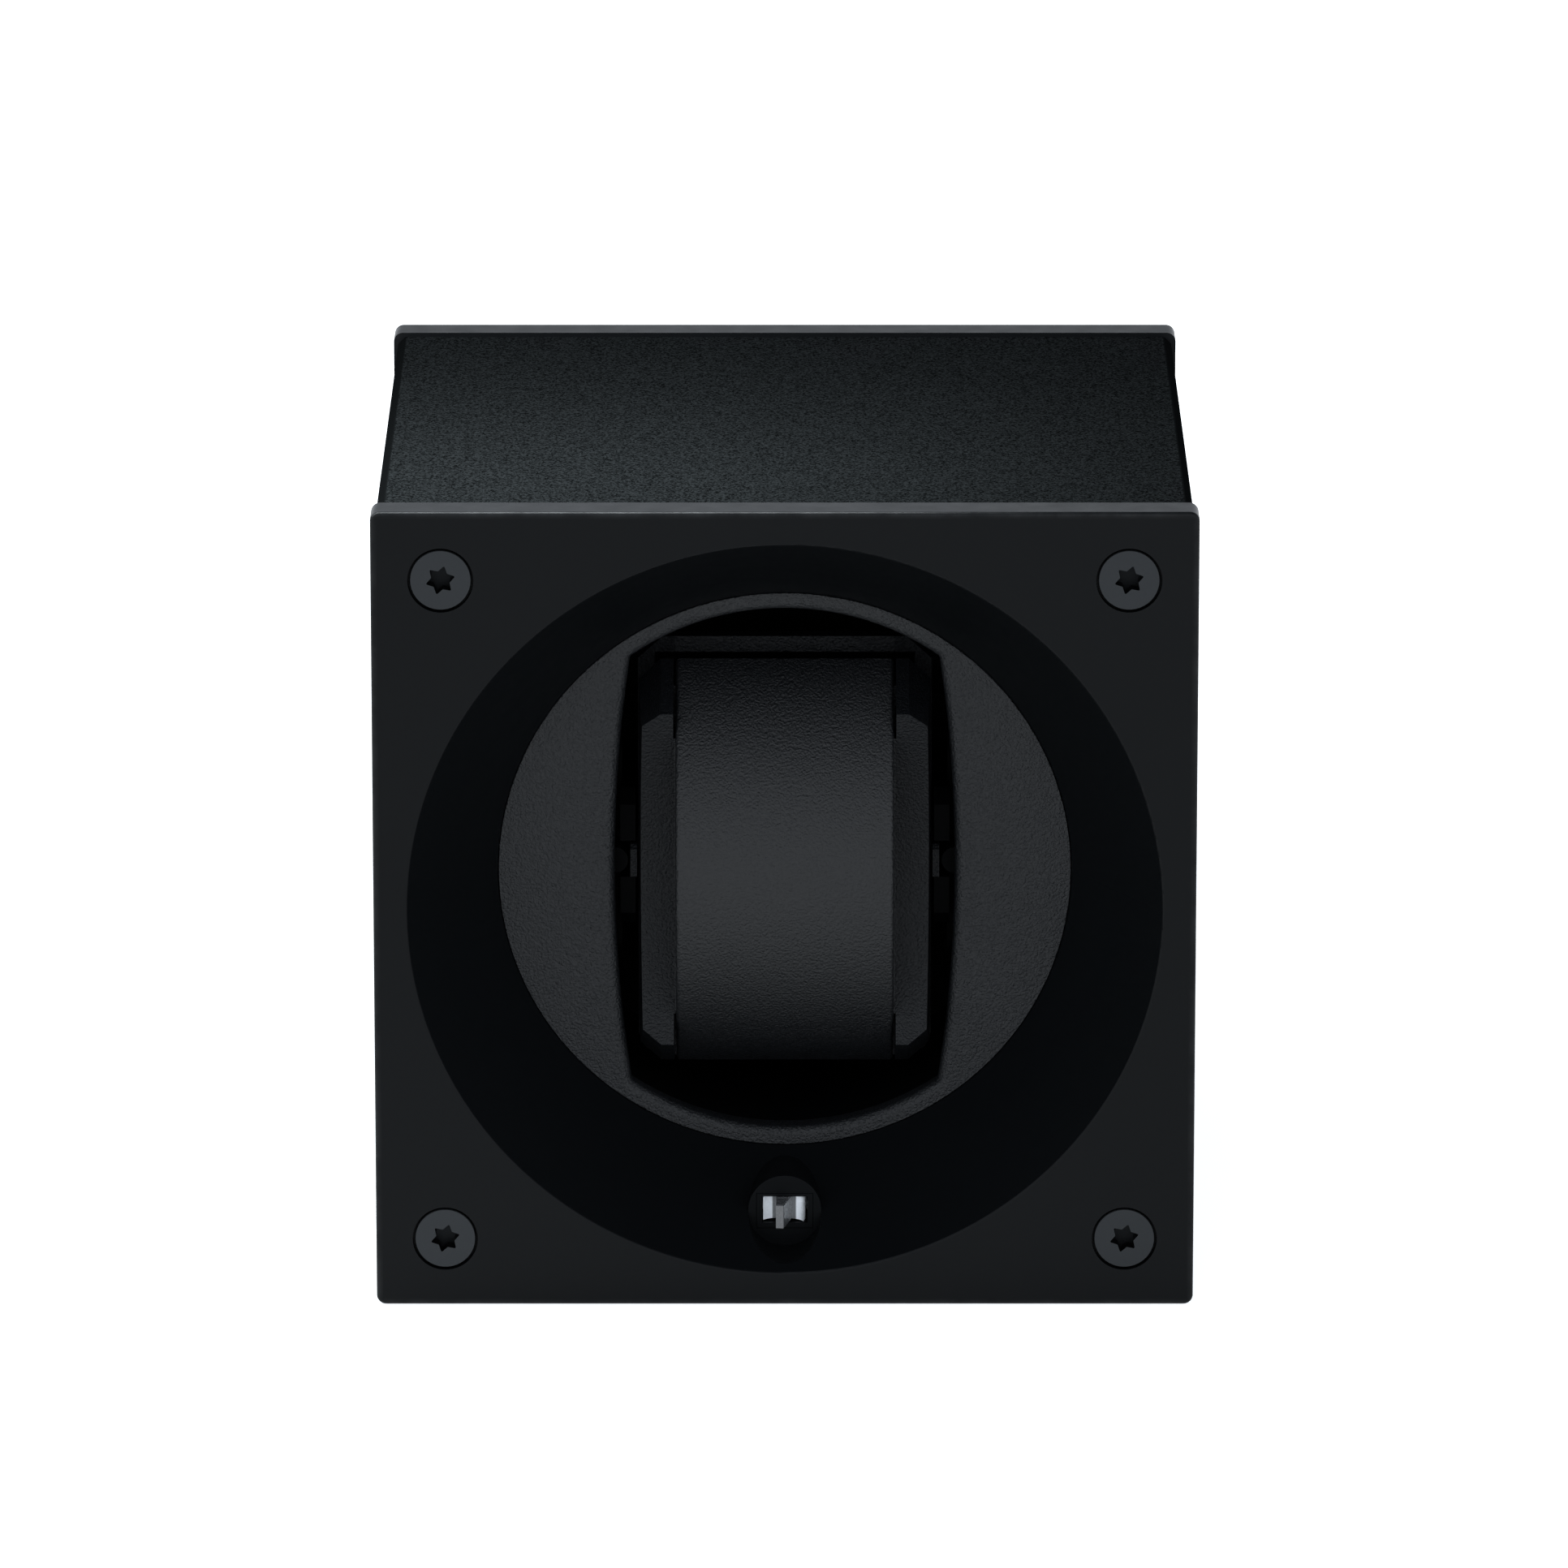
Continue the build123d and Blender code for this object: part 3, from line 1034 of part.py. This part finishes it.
SOCKET_START, SOCKET_END = MAIN_BOARD_DEPTH + BOARD_T, SIDE - 2.2

with BuildPart() as usb_socket:
    with BuildSketch(behind(SOCKET_END, z=USB_Z)):
        RectangleRounded(7.6, 2.8, 0.8)
    extrude(amount=SOCKET_START - SOCKET_END)
    with BuildSketch(behind(SOCKET_END, z=USB_Z)):
        RectangleRounded(7.0, 2.2, 0.6)
    extrude(amount=-5.2, mode=Mode.SUBTRACT)
    # contact tongue
    block(3.8, 0.6, SOCKET_END - 5.3, SOCKET_END - 0.8, centre=(0, USB_Z + 0.3))
save(usb_socket, "usb_socket")


def lead(points, bend_r, wire_r):
    """Insulated lead added to the current part; a point is (x, height, depth)."""
    route = [(x, depth - HALF, AXIS_Z + z) for x, z, depth in points]
    with BuildLine() as path:
        FilletPolyline(*route, radius=bend_r)
    with BuildSketch(Plane(origin=path.line @ 0, z_dir=path.line % 0)) as section:
        Circle(wire_r)
    sweep(section.sketch, path=path.line)


PLUG_DEPTH = BOARD_FRONT - 4.5

with BuildPart() as motor_leads:
    for side in (-1, 1):
        x, back = MOTOR_X + side * 4.6, CAN_END + 1.2
        plug_x, plug_z = 27.0 + side * 1.2, -39.5
        lead([(x, MOTOR_Z - 0.9, back), (x, MOTOR_Z - 9.4, back), (x - 2, MOTOR_Z - 12.0, PLUG_DEPTH - 5),
              (plug_x, plug_z, PLUG_DEPTH - 5), (plug_x, plug_z, PLUG_DEPTH)], 1.6, 0.55)
save(motor_leads, "motor_leads")

with BuildPart() as battery_leads:
    for side in (-1, 1):
        x, low = -12.0 - 2.5 * side, TRAY_Z - TRAY_HALF_Z
        plug_x, plug_z = -27.0 + side * 1.2, -39.5
        lead([(x, low, 84.0), (x, low - 4.0, 84.0), (plug_x, plug_z + 4 - 2 * side, 81.0 - 2 * side),
              (plug_x, plug_z, 84.0), (plug_x, plug_z, PLUG_DEPTH)], 1.2, 0.55)
save(battery_leads, "battery_leads")

with BuildPart() as switch_cable:
    x, z = CABLE_NOTCH
    lead([(4.6, BOSS_Z - 1.5, BOARD_DEPTH + 1.2), (4.6, BOSS_Z - 1.5, BOARD_DEPTH + 5.0),
          (x, z, BOARD_DEPTH + 14.0), (x, z, 74.0), (19.0, -44.2, 81.0), (19.0, -44.2, PLUG_DEPTH)], 2.4, 1.2)
save(switch_cable, "switch_cable")

with BuildPart() as sensor_cable:
    back = CHASSIS_DEPTH + 7.2
    lead([(0, SENSOR_HOLE_Z, CHASSIS_DEPTH), (0, SENSOR_HOLE_Z, back), (-33.0, 20.0, back),
          (-33.0, -35.0, back), (-12.0, -44.8, 80.0), (-12.0, -44.8, PLUG_DEPTH)], 3.0, 0.7)
save(sensor_cable, "sensor_cable")
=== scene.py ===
import json
import math

import bpy
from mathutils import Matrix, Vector


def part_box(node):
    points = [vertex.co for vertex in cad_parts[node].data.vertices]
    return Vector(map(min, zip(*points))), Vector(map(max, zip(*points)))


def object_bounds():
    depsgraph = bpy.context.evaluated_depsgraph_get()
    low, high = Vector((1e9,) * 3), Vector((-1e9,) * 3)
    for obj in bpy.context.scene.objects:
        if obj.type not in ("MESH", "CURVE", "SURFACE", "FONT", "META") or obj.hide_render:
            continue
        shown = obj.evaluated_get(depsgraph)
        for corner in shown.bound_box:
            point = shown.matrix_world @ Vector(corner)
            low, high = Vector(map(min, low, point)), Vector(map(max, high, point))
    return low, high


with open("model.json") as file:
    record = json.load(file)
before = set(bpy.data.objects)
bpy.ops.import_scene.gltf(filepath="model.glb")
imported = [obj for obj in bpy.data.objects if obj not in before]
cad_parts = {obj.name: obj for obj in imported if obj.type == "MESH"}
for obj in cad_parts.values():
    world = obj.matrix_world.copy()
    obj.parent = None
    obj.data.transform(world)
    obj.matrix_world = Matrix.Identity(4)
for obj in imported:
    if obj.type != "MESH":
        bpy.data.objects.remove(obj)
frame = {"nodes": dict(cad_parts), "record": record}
cad_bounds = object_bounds()
nodes = frame["nodes"]
scene = bpy.context.scene

# Distances on the object, in metres: Z is up, the front faces -Y, and X = 0 is the middle plane.
AXIS_HEIGHT = 0.052              # the level axis of the cone and the drum
MOUTH_RADIUS = 0.0476            # the cone and all that stands in it lie inside this
EDGE_WIDTH = 0.0009              # how far the rubbed edges of the plates, with their painted highlight, reach
SLEEVE_SIDE = 0.0502             # the sleeve's sides and corners lie beyond this
BAND_SIDE = 0.0140               # the strap holder's wings lie beyond this
HOLDER_REAR = (-0.0230, -0.0215)     # from the strap holder's front half to its rear half, along Y
HEAD_FACE = 0.05185              # faces of the screw heads, from the middle of the depth
ORIGIN = (0.0, 0.0, 0.0)


# ------------------------------------------------------------------ node helpers
def new_material(name):
    """Empty material: its node tree, Principled shader and object-space coordinates."""
    mat = bpy.data.materials.new(name)
    mat.use_nodes = True
    tree = mat.node_tree
    shader = tree.nodes["Principled BSDF"]
    coords = tree.nodes.new("ShaderNodeTexCoord").outputs["Object"]
    return mat, tree, shader, coords


def feed(tree, value, socket):
    """Set a socket to a plain value, or link it when the value is another node's output."""
    if isinstance(value, bpy.types.NodeSocket):
        tree.links.new(value, socket)
    else:
        socket.default_value = value


def node(tree, kind, inputs=None, **settings):
    made = tree.nodes.new("ShaderNode" + kind)
    for key, value in settings.items():
        setattr(made, key, value)
    for key, value in (inputs or {}).items():
        feed(tree, value, made.inputs[key])
    return made


def noise(tree, coords, scale, detail=3.0, rough=0.5):
    made = node(tree, "TexNoise", {"Vector": coords, "Scale": scale, "Detail": detail, "Roughness": rough})
    return made.outputs["Fac"]


def remap(tree, value, low, high, to_low, to_high):
    made = node(tree, "MapRange", {"Value": value, "From Min": low, "From Max": high,
                                   "To Min": to_low, "To Max": to_high})
    return made.outputs["Result"]


def maths(tree, operation, a, b=0.0, c=0.0):
    made = node(tree, "Math", operation=operation)
    for socket, value in zip(made.inputs, (a, b, c)):
        feed(tree, value, socket)
    return made.outputs["Value"]


def vector(tree, operation, a, b=ORIGIN):
    """Vector maths node; its outputs are Vector and Value."""
    return node(tree, "VectorMath", {0: a, 1: b}, operation=operation).outputs


def along(tree, coords, axis):
    return node(tree, "SeparateXYZ", {"Vector": coords}).outputs[axis]


def mix_colour(tree, factor, a, b):
    made = node(tree, "Mix", data_type="RGBA")
    for key, value in (("Factor", factor), ("A", a), ("B", b)):
        feed(tree, value, [s for s in made.inputs if s.name == key and s.enabled][0])
    return [s for s in made.outputs if s.enabled][0]


def bump(tree, height, distance):
    return node(tree, "Bump", {"Height": height, "Distance": distance}).outputs["Normal"]


def rgba(colour, gain=1.0):
    return (*[c * gain for c in colour], 1.0)


def mottled(tree, factor, colour, spread):
    """The colour, made darker and lighter by a share given as spread."""
    return mix_colour(tree, factor, rgba(colour, 1.0 - spread), rgba(colour, 1.0 + spread))


def surface(tree, shader, base, roughness, normal):
    for value, name in ((base, "Base Color"), (roughness, "Roughness"), (normal, "Normal")):
        tree.links.new(value, shader.inputs[name])


def lengths(tree, coords, middle):
    """Distances from the point middle along X, Y and Z, each taken positive."""
    shifted = vector(tree, "SUBTRACT", coords, middle)["Vector"]
    positive = vector(tree, "ABSOLUTE", shifted)["Vector"]
    return list(node(tree, "SeparateXYZ", {"Vector": positive}).outputs)


def box_edges(tree, coords, lowest, highest):
    """1 along the twelve edges of a box, 0 beyond EDGE_WIDTH from them."""
    middle = [(a + b) / 2 for a, b in zip(lowest, highest)]
    halves = [(b - a) / 2 for a, b in zip(lowest, highest)]
    near = [remap(tree, axis, half - EDGE_WIDTH, half, 0.0, 1.0)
            for axis, half in zip(lengths(tree, coords, middle), halves)]
    pairs = [maths(tree, "MULTIPLY", near[i], near[j]) for i, j in ((0, 1), (0, 2), (1, 2))]
    return maths(tree, "MAXIMUM", maths(tree, "MAXIMUM", pairs[0], pairs[1]), pairs[2])


# ------------------------------------------------------------------ materials
def moulded(tree, coords, colour, rough, mottle):
    """Base colour, roughness and normal of a smooth moulded surface with faint mottling."""
    base = mottled(tree, noise(tree, coords, 45.0, 4.0), colour, mottle)
    roughness = remap(tree, noise(tree, coords, 300.0, 5.0), 0.3, 0.7, rough - 0.03, rough + 0.03)
    return base, roughness, bump(tree, noise(tree, coords, 2600.0, 2.0, 0.6), 0.000004)


def matte_plastic(name, colour, rough, specular=0.3, mottle=0.08):
    mat, tree, shader, coords = new_material(name)
    surface(tree, shader, *moulded(tree, coords, colour, rough, mottle))
    shader.inputs["Specular IOR Level"].default_value = specular
    return mat


def frame_paint(name, colour, rough, specular, mottle):
    """Smooth black of the two plates: lighter and shinier along their outer edges, partly rubbed wear and
    partly a painted highlight, with less shine in the cone as a painted shade of the recess.
    """
    mat, tree, shader, coords = new_material(name)
    base, roughness, normal = moulded(tree, coords, colour, rough, mottle)
    wear = remap(tree, noise(tree, coords, 260.0, 5.0, 0.65), 0.35, 0.75, 0.1, 0.8)
    # painted highlight along the outer edges, mixed with rubbed wear: lighter colour and more shine there
    rubbed_and_highlight = maths(tree, "MULTIPLY", box_edges(tree, coords, *cad_bounds), wear)
    base = mix_colour(tree, rubbed_and_highlight, base, rgba([c * 1.8 for c in colour]))
    roughness = maths(tree, "SUBTRACT", roughness, maths(tree, "MULTIPLY", rubbed_and_highlight, 0.06))
    surface(tree, shader, base, roughness, normal)
    shine = maths(tree, "MULTIPLY_ADD", rubbed_and_highlight, 0.16, specular)
    flat = vector(tree, "MULTIPLY", coords, (1.0, 0.0, 1.0))["Vector"]
    radius = vector(tree, "DISTANCE", flat, (0.0, 0.0, AXIS_HEIGHT))["Value"]
    # the rear plate is never inside, however near the axis
    radius = maths(tree, "ADD", radius, remap(tree, along(tree, coords, "Y"), -0.001, 0.001, 0.0, 1.0))
    # painted shade of the recess: less shine inside the cone
    cone_painted_shade = remap(tree, radius, MOUTH_RADIUS, MOUTH_RADIUS + 0.0002, 0.42, 1.0)
    tree.links.new(maths(tree, "MULTIPLY", shine, cone_painted_shade), shader.inputs["Specular IOR Level"])
    return mat


def grained(name, colour, cell, depth, rough, specular, speckle=0.0, shade_wings_and_rear=False):
    """Leather-like moulded grain, irregular pebbles with creases. speckle adds fine flecks and darker sides,
    and the last flag paints shade on the strap holder's wings and rear half by taking shine from them."""
    mat, tree, shader, coords = new_material(name)
    drift = node(tree, "TexNoise", {"Vector": coords, "Scale": 0.7 / cell, "Detail": 2.0}).outputs["Color"]
    moved = vector(tree, "MULTIPLY", drift, (cell * 1.6,) * 3)["Vector"]
    place = vector(tree, "ADD", coords, moved)["Vector"]
    cells = node(tree, "TexVoronoi", {"Vector": place, "Scale": 1.0 / cell, "Smoothness": 0.5},
                 feature="SMOOTH_F1").outputs["Distance"]
    fine = noise(tree, coords, 2.4 / cell, 3.0, 0.65)
    height = maths(tree, "MULTIPLY_ADD", fine, 0.6, maths(tree, "MULTIPLY", cells, -0.8))
    sideways = lengths(tree, coords, ORIGIN)[0]
    if speckle:
        flecks = remap(tree, noise(tree, coords, 3400.0, 2.0, 0.7), 0.40, 0.60, 0.0, 1.0)
        side = remap(tree, sideways, SLEEVE_SIDE, SLEEVE_SIDE + 0.0002, 0.0, 1.0)
        base = mix_colour(tree, side, mottled(tree, flecks, colour, speckle), rgba(colour, 0.4))
    else:
        # painted shade: the grain's creases are darkened in colour
        crease_shade = remap(tree, cells, 0.25, 0.75, 0.0, 0.35)
        base = mottled(tree, noise(tree, coords, 60.0, 3.0), colour, 0.1)
        base = mix_colour(tree, crease_shade, base, rgba(colour, 0.45))
    surface(tree, shader, base, remap(tree, fine, 0.3, 0.7, rough - 0.07, rough + 0.07),
            bump(tree, height, depth))
    shader.inputs["Specular IOR Level"].default_value = specular
    if shade_wings_and_rear:
        # painted shade: less shine on the strap holder's wings and on its rear half
        wings = remap(tree, sideways, BAND_SIDE, BAND_SIDE + 0.0001, specular, specular * 0.6)
        rear = remap(tree, along(tree, coords, "Y"), *HOLDER_REAR, 1.0, 0.6)
        tree.links.new(maths(tree, "MULTIPLY", wings, rear), shader.inputs["Specular IOR Level"])
    return mat


def metal(name, colour, rough, brushed=0.0, shaded_sockets=False):
    """Plain metal with faint tarnish. brushed gives drawn lines along the depth, and the last flag paints
    shade into the drives of the screws, behind their head faces."""
    mat, tree, shader, coords = new_material(name)
    tarnish = noise(tree, coords, 220.0, 4.0)
    base = mottled(tree, tarnish, colour, 0.06)
    if shaded_sockets:
        depth = lengths(tree, coords, ORIGIN)[1]
        # painted shade: the screw drives are darker below the head faces
        face = remap(tree, depth, HEAD_FACE - 0.0004, HEAD_FACE - 0.00005, 0.0, 1.0)
        base = mix_colour(tree, face, rgba(colour, 0.28), base)
    drawn = (1.0, 1.0 - 0.95 * brushed, 1.0)
    stretched = node(tree, "Mapping", {"Vector": coords, "Scale": drawn}).outputs["Vector"]
    surface(tree, shader, base, remap(tree, tarnish, 0.3, 0.7, rough - 0.04, rough + 0.04),
            bump(tree, noise(tree, stretched, 4000.0, 2.0), 0.000006))
    shader.inputs["Metallic"].default_value = 1.0
    return mat


def rocker_plastic(name):
    """White pads behind a smoky clear fin: the colour follows the depth, and the pads carry a painted shade,
    greyer where they curve in beside the fin."""
    mat, tree, shader, coords = new_material(name)
    fin_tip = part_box("switch_rocker")[0][1]
    pads = remap(tree, along(tree, coords, "Y"), fin_tip + 0.0028, fin_tip + 0.0040, 0.0, 1.0)
    cloud = noise(tree, coords, 900.0, 4.0, 0.6)
    smoky = mix_colour(tree, cloud, (0.025, 0.026, 0.028, 1.0), (0.060, 0.062, 0.065, 1.0))
    white = mix_colour(tree, cloud, (0.84, 0.88, 0.92, 1.0), (0.92, 0.95, 0.98, 1.0))
    # painted shade: grey bands on the pads beside the fin
    painted_shade_beside_fin = remap(tree, lengths(tree, coords, (-0.000075, 0.0, 0.0))[0], 0.00142, 0.00160, 1.0, 0.0)
    white = mix_colour(tree, painted_shade_beside_fin, white, (0.14, 0.145, 0.15, 1.0))
    surface(tree, shader, mix_colour(tree, pads, smoky, white), remap(tree, cloud, 0.3, 0.7, 0.22, 0.34),
            bump(tree, noise(tree, coords, 7000.0, 2.0), 0.000002))
    shader.inputs["Specular IOR Level"].default_value = 0.6
    return mat


def circuit_board(name):
    """Green solder mask with copper tracks under it."""
    mat, tree, shader, coords = new_material(name)
    upright = node(tree, "Mapping", {"Vector": coords, "Rotation": (math.pi / 2, 0, 0)}).outputs["Vector"]
    black, white = (0, 0, 0, 1), (1, 1, 1, 1)
    tracks = node(tree, "TexBrick", {"Vector": upright, "Scale": 260.0, "Mortar Size": 0.012,
                                     "Mortar Smooth": 0.3, "Color1": black, "Color2": black, "Mortar": white},
                  offset=0.37, squash=1.6, squash_frequency=3).outputs["Color"]
    surface(tree, shader, mix_colour(tree, tracks, (0.010, 0.070, 0.030, 1.0), (0.030, 0.150, 0.060, 1.0)),
            remap(tree, noise(tree, coords, 400.0), 0.3, 0.7, 0.26, 0.36), bump(tree, tracks, 0.00003))
    return mat


def cell_sleeve(name):
    """Shrink sleeve of a dry cell: dark, with a silver zone at the plus end and two thin rings."""
    mat, tree, shader, coords = new_material(name)
    lowest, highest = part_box("battery_left")
    bottom, top = lowest[2], highest[2]
    height = along(tree, coords, "Z")
    silver = (0.42, 0.43, 0.45, 1.0)
    scuffs = noise(tree, coords, 180.0, 6.0, 0.7)
    base = mix_colour(tree, scuffs, (0.016, 0.020, 0.030, 1.0), (0.026, 0.032, 0.044, 1.0))
    base = mix_colour(tree, remap(tree, height, top - 0.0132, top - 0.0130, 0.0, 1.0), base, silver)
    rings = [maths(tree, "COMPARE", height, place, 0.0006) for place in (top - 0.0165, bottom + 0.0050)]
    base = mix_colour(tree, maths(tree, "MAXIMUM", *rings), base, silver)
    surface(tree, shader, base, remap(tree, scuffs, 0.3, 0.7, 0.20, 0.34),
            bump(tree, noise(tree, coords, 700.0, 3.0), 0.00001))
    return mat


# Each material slot: the function that makes it, then what that function takes after the name.
RECIPES = {
    "frame_black": (frame_paint, (0.0018, 0.0021, 0.0024), 0.38, 0.058, 0.05),
    "sleeve_black": (grained, (0.0050, 0.0056, 0.0058), 0.00030, 0.00004, 0.80, 0.0, 0.78),
    "drum_black": (grained, (0.0040, 0.0046, 0.0054), 0.00032, 0.00016, 0.40, 0.235),
    "holder_black": (grained, (0.0020, 0.0024, 0.0030), 0.00032, 0.00014, 0.38, 0.24, 0.0, True),
    "inner_black": (matte_plastic, (0.0010, 0.0011, 0.0012), 0.50, 0.015),
    "chassis_black": (matte_plastic, (0.012, 0.012, 0.013), 0.55),
    "rubber_black": (matte_plastic, (0.010, 0.010, 0.010), 0.8, 0.2),
    "chip_black": (matte_plastic, (0.010, 0.010, 0.011), 0.5, 0.4),
    "cable_black": (matte_plastic, (0.012, 0.012, 0.013), 0.5, 0.4),
    "capacitor_black": (matte_plastic, (0.012, 0.014, 0.028), 0.3, 0.5),
    "cell_wrap": (cell_sleeve,),
    "gear_white": (matte_plastic, (0.62, 0.61, 0.57), 0.42, 0.5, 0.04),
    "connector_white": (matte_plastic, (0.62, 0.60, 0.54), 0.5, 0.4, 0.04),
    "led_white": (matte_plastic, (0.75, 0.74, 0.62), 0.35, 0.5, 0.04),
    "board_green": (circuit_board,),
    "lead_red": (matte_plastic, (0.35, 0.012, 0.010), 0.4, 0.5),
    "rocker_clear": (rocker_plastic,),
    "guide_clear": (matte_plastic, (0.60, 0.62, 0.64), 0.2, 0.5, 0.03),
    "screw_black": (metal, (0.021, 0.0225, 0.024), 0.42, 0.0, True),
    "steel": (metal, (0.52, 0.52, 0.53), 0.32),
    "bearing_steel": (metal, (0.62, 0.62, 0.63), 0.16),
    "brass": (metal, (0.66, 0.46, 0.18), 0.30),
    "spring_steel": (metal, (0.45, 0.45, 0.46), 0.30),
    "nickel": (metal, (0.62, 0.60, 0.56), 0.24),
    "motor_steel": (metal, (0.42, 0.42, 0.43), 0.34, 1.0),
    "magnet": (metal, (0.55, 0.55, 0.55), 0.2),
}
PAINTS = {name: make(name, *settings) for name, (make, *settings) in RECIPES.items()}
for part in frame["record"]["subparts"]:
    mesh = nodes[part["node"]].data
    mesh.materials.clear()
    # the bezel has the plates' black, whatever its slot
    slot = "frame_black" if part["node"] == "switch_bezel" else part["material_slot"]
    mesh.materials.append(PAINTS[slot])


# ------------------------------------------------------------------ studio
def floor():
    """Pale paper that glows a little, more so away from the object."""
    mat, tree, shader, coords = new_material("floor_paper")
    base = mix_colour(tree, noise(tree, coords, 6.0, 2.0), (0.62, 0.62, 0.62, 1), (0.64, 0.64, 0.64, 1))
    tree.links.new(base, shader.inputs["Base Color"])
    away = vector(tree, "LENGTH", coords)["Value"]
    tree.links.new(remap(tree, away, 0.09, 0.40, 0.74, 1.25), shader.inputs["Emission Strength"])
    shader.inputs["Emission Color"].default_value = (0.97, 1.0, 1.02, 1.0)
    shader.inputs["Roughness"].default_value = 0.9
    shader.inputs["Specular IOR Level"].default_value = 0.1
    bpy.ops.mesh.primitive_plane_add(size=12.0, location=(0, 0, -0.0001))
    made = bpy.context.object
    made.name = "studio_floor"
    made.data.materials.append(mat)


def softbox(name, place, target, width, height, power):
    light = bpy.data.lights.new(name, "AREA")
    light.shape = "RECTANGLE"
    light.size, light.size_y = width, height
    light.energy = power
    light.color = (0.94, 1.0, 1.04)
    made = bpy.data.objects.new(name, light)
    scene.collection.objects.link(made)
    made.location = place
    made.rotation_euler = (Vector(target) - Vector(place)).to_track_quat("-Z", "Y").to_euler()
    made.visible_camera = False


def studio_world():
    """White walls all round, lower and dimmer behind, under a dark ceiling."""
    world = bpy.data.worlds.new("studio")
    scene.world = world
    world.use_nodes = True
    tree = world.node_tree
    background = tree.nodes["Background"]
    direction = node(tree, "TexCoord").outputs["Generated"]
    parts = node(tree, "SeparateXYZ", {"Vector": direction}).outputs
    behind = remap(tree, parts["Y"], -0.3, 0.3, 0.0, 1.0)
    in_front = maths(tree, "SUBTRACT", 1.0, behind)
    front_wall = maths(tree, "MULTIPLY", remap(tree, parts["Z"], 0.57, 0.94, 2.3, 0.05), in_front)
    rear_wall = maths(tree, "MULTIPLY", remap(tree, parts["Z"], 0.42, 0.75, 1.05, 0.05), behind)
    tree.links.new(maths(tree, "ADD", rear_wall, front_wall), background.inputs["Strength"])
    background.inputs["Color"].default_value = (0.93, 0.985, 1.06, 1.0)


floor()
studio_world()
# a small lamp close above the sleeve's left side
softbox("lamp", (-0.085, -0.040, 0.172), (-0.085, -0.0399, 0.104), 0.20, 0.02, 0.62)

# ------------------------------------------------------------------ camera
CAMERA_PLACE = (-0.0001, -1.5361, 0.4741)
CAMERA_PITCH = math.radians(15.2757)     # looking down by this much
lens = bpy.data.cameras.new("camera")
lens.sensor_width = 36.0
lens.lens = 280.43
lens.clip_start, lens.clip_end = 0.05, 50.0
camera = bpy.data.objects.new("camera", lens)
scene.collection.objects.link(camera)
camera.location = CAMERA_PLACE
camera.rotation_euler = (math.pi / 2 - CAMERA_PITCH, 0.0, 0.0)
scene.camera = camera
scene.view_settings.view_transform = "Standard"
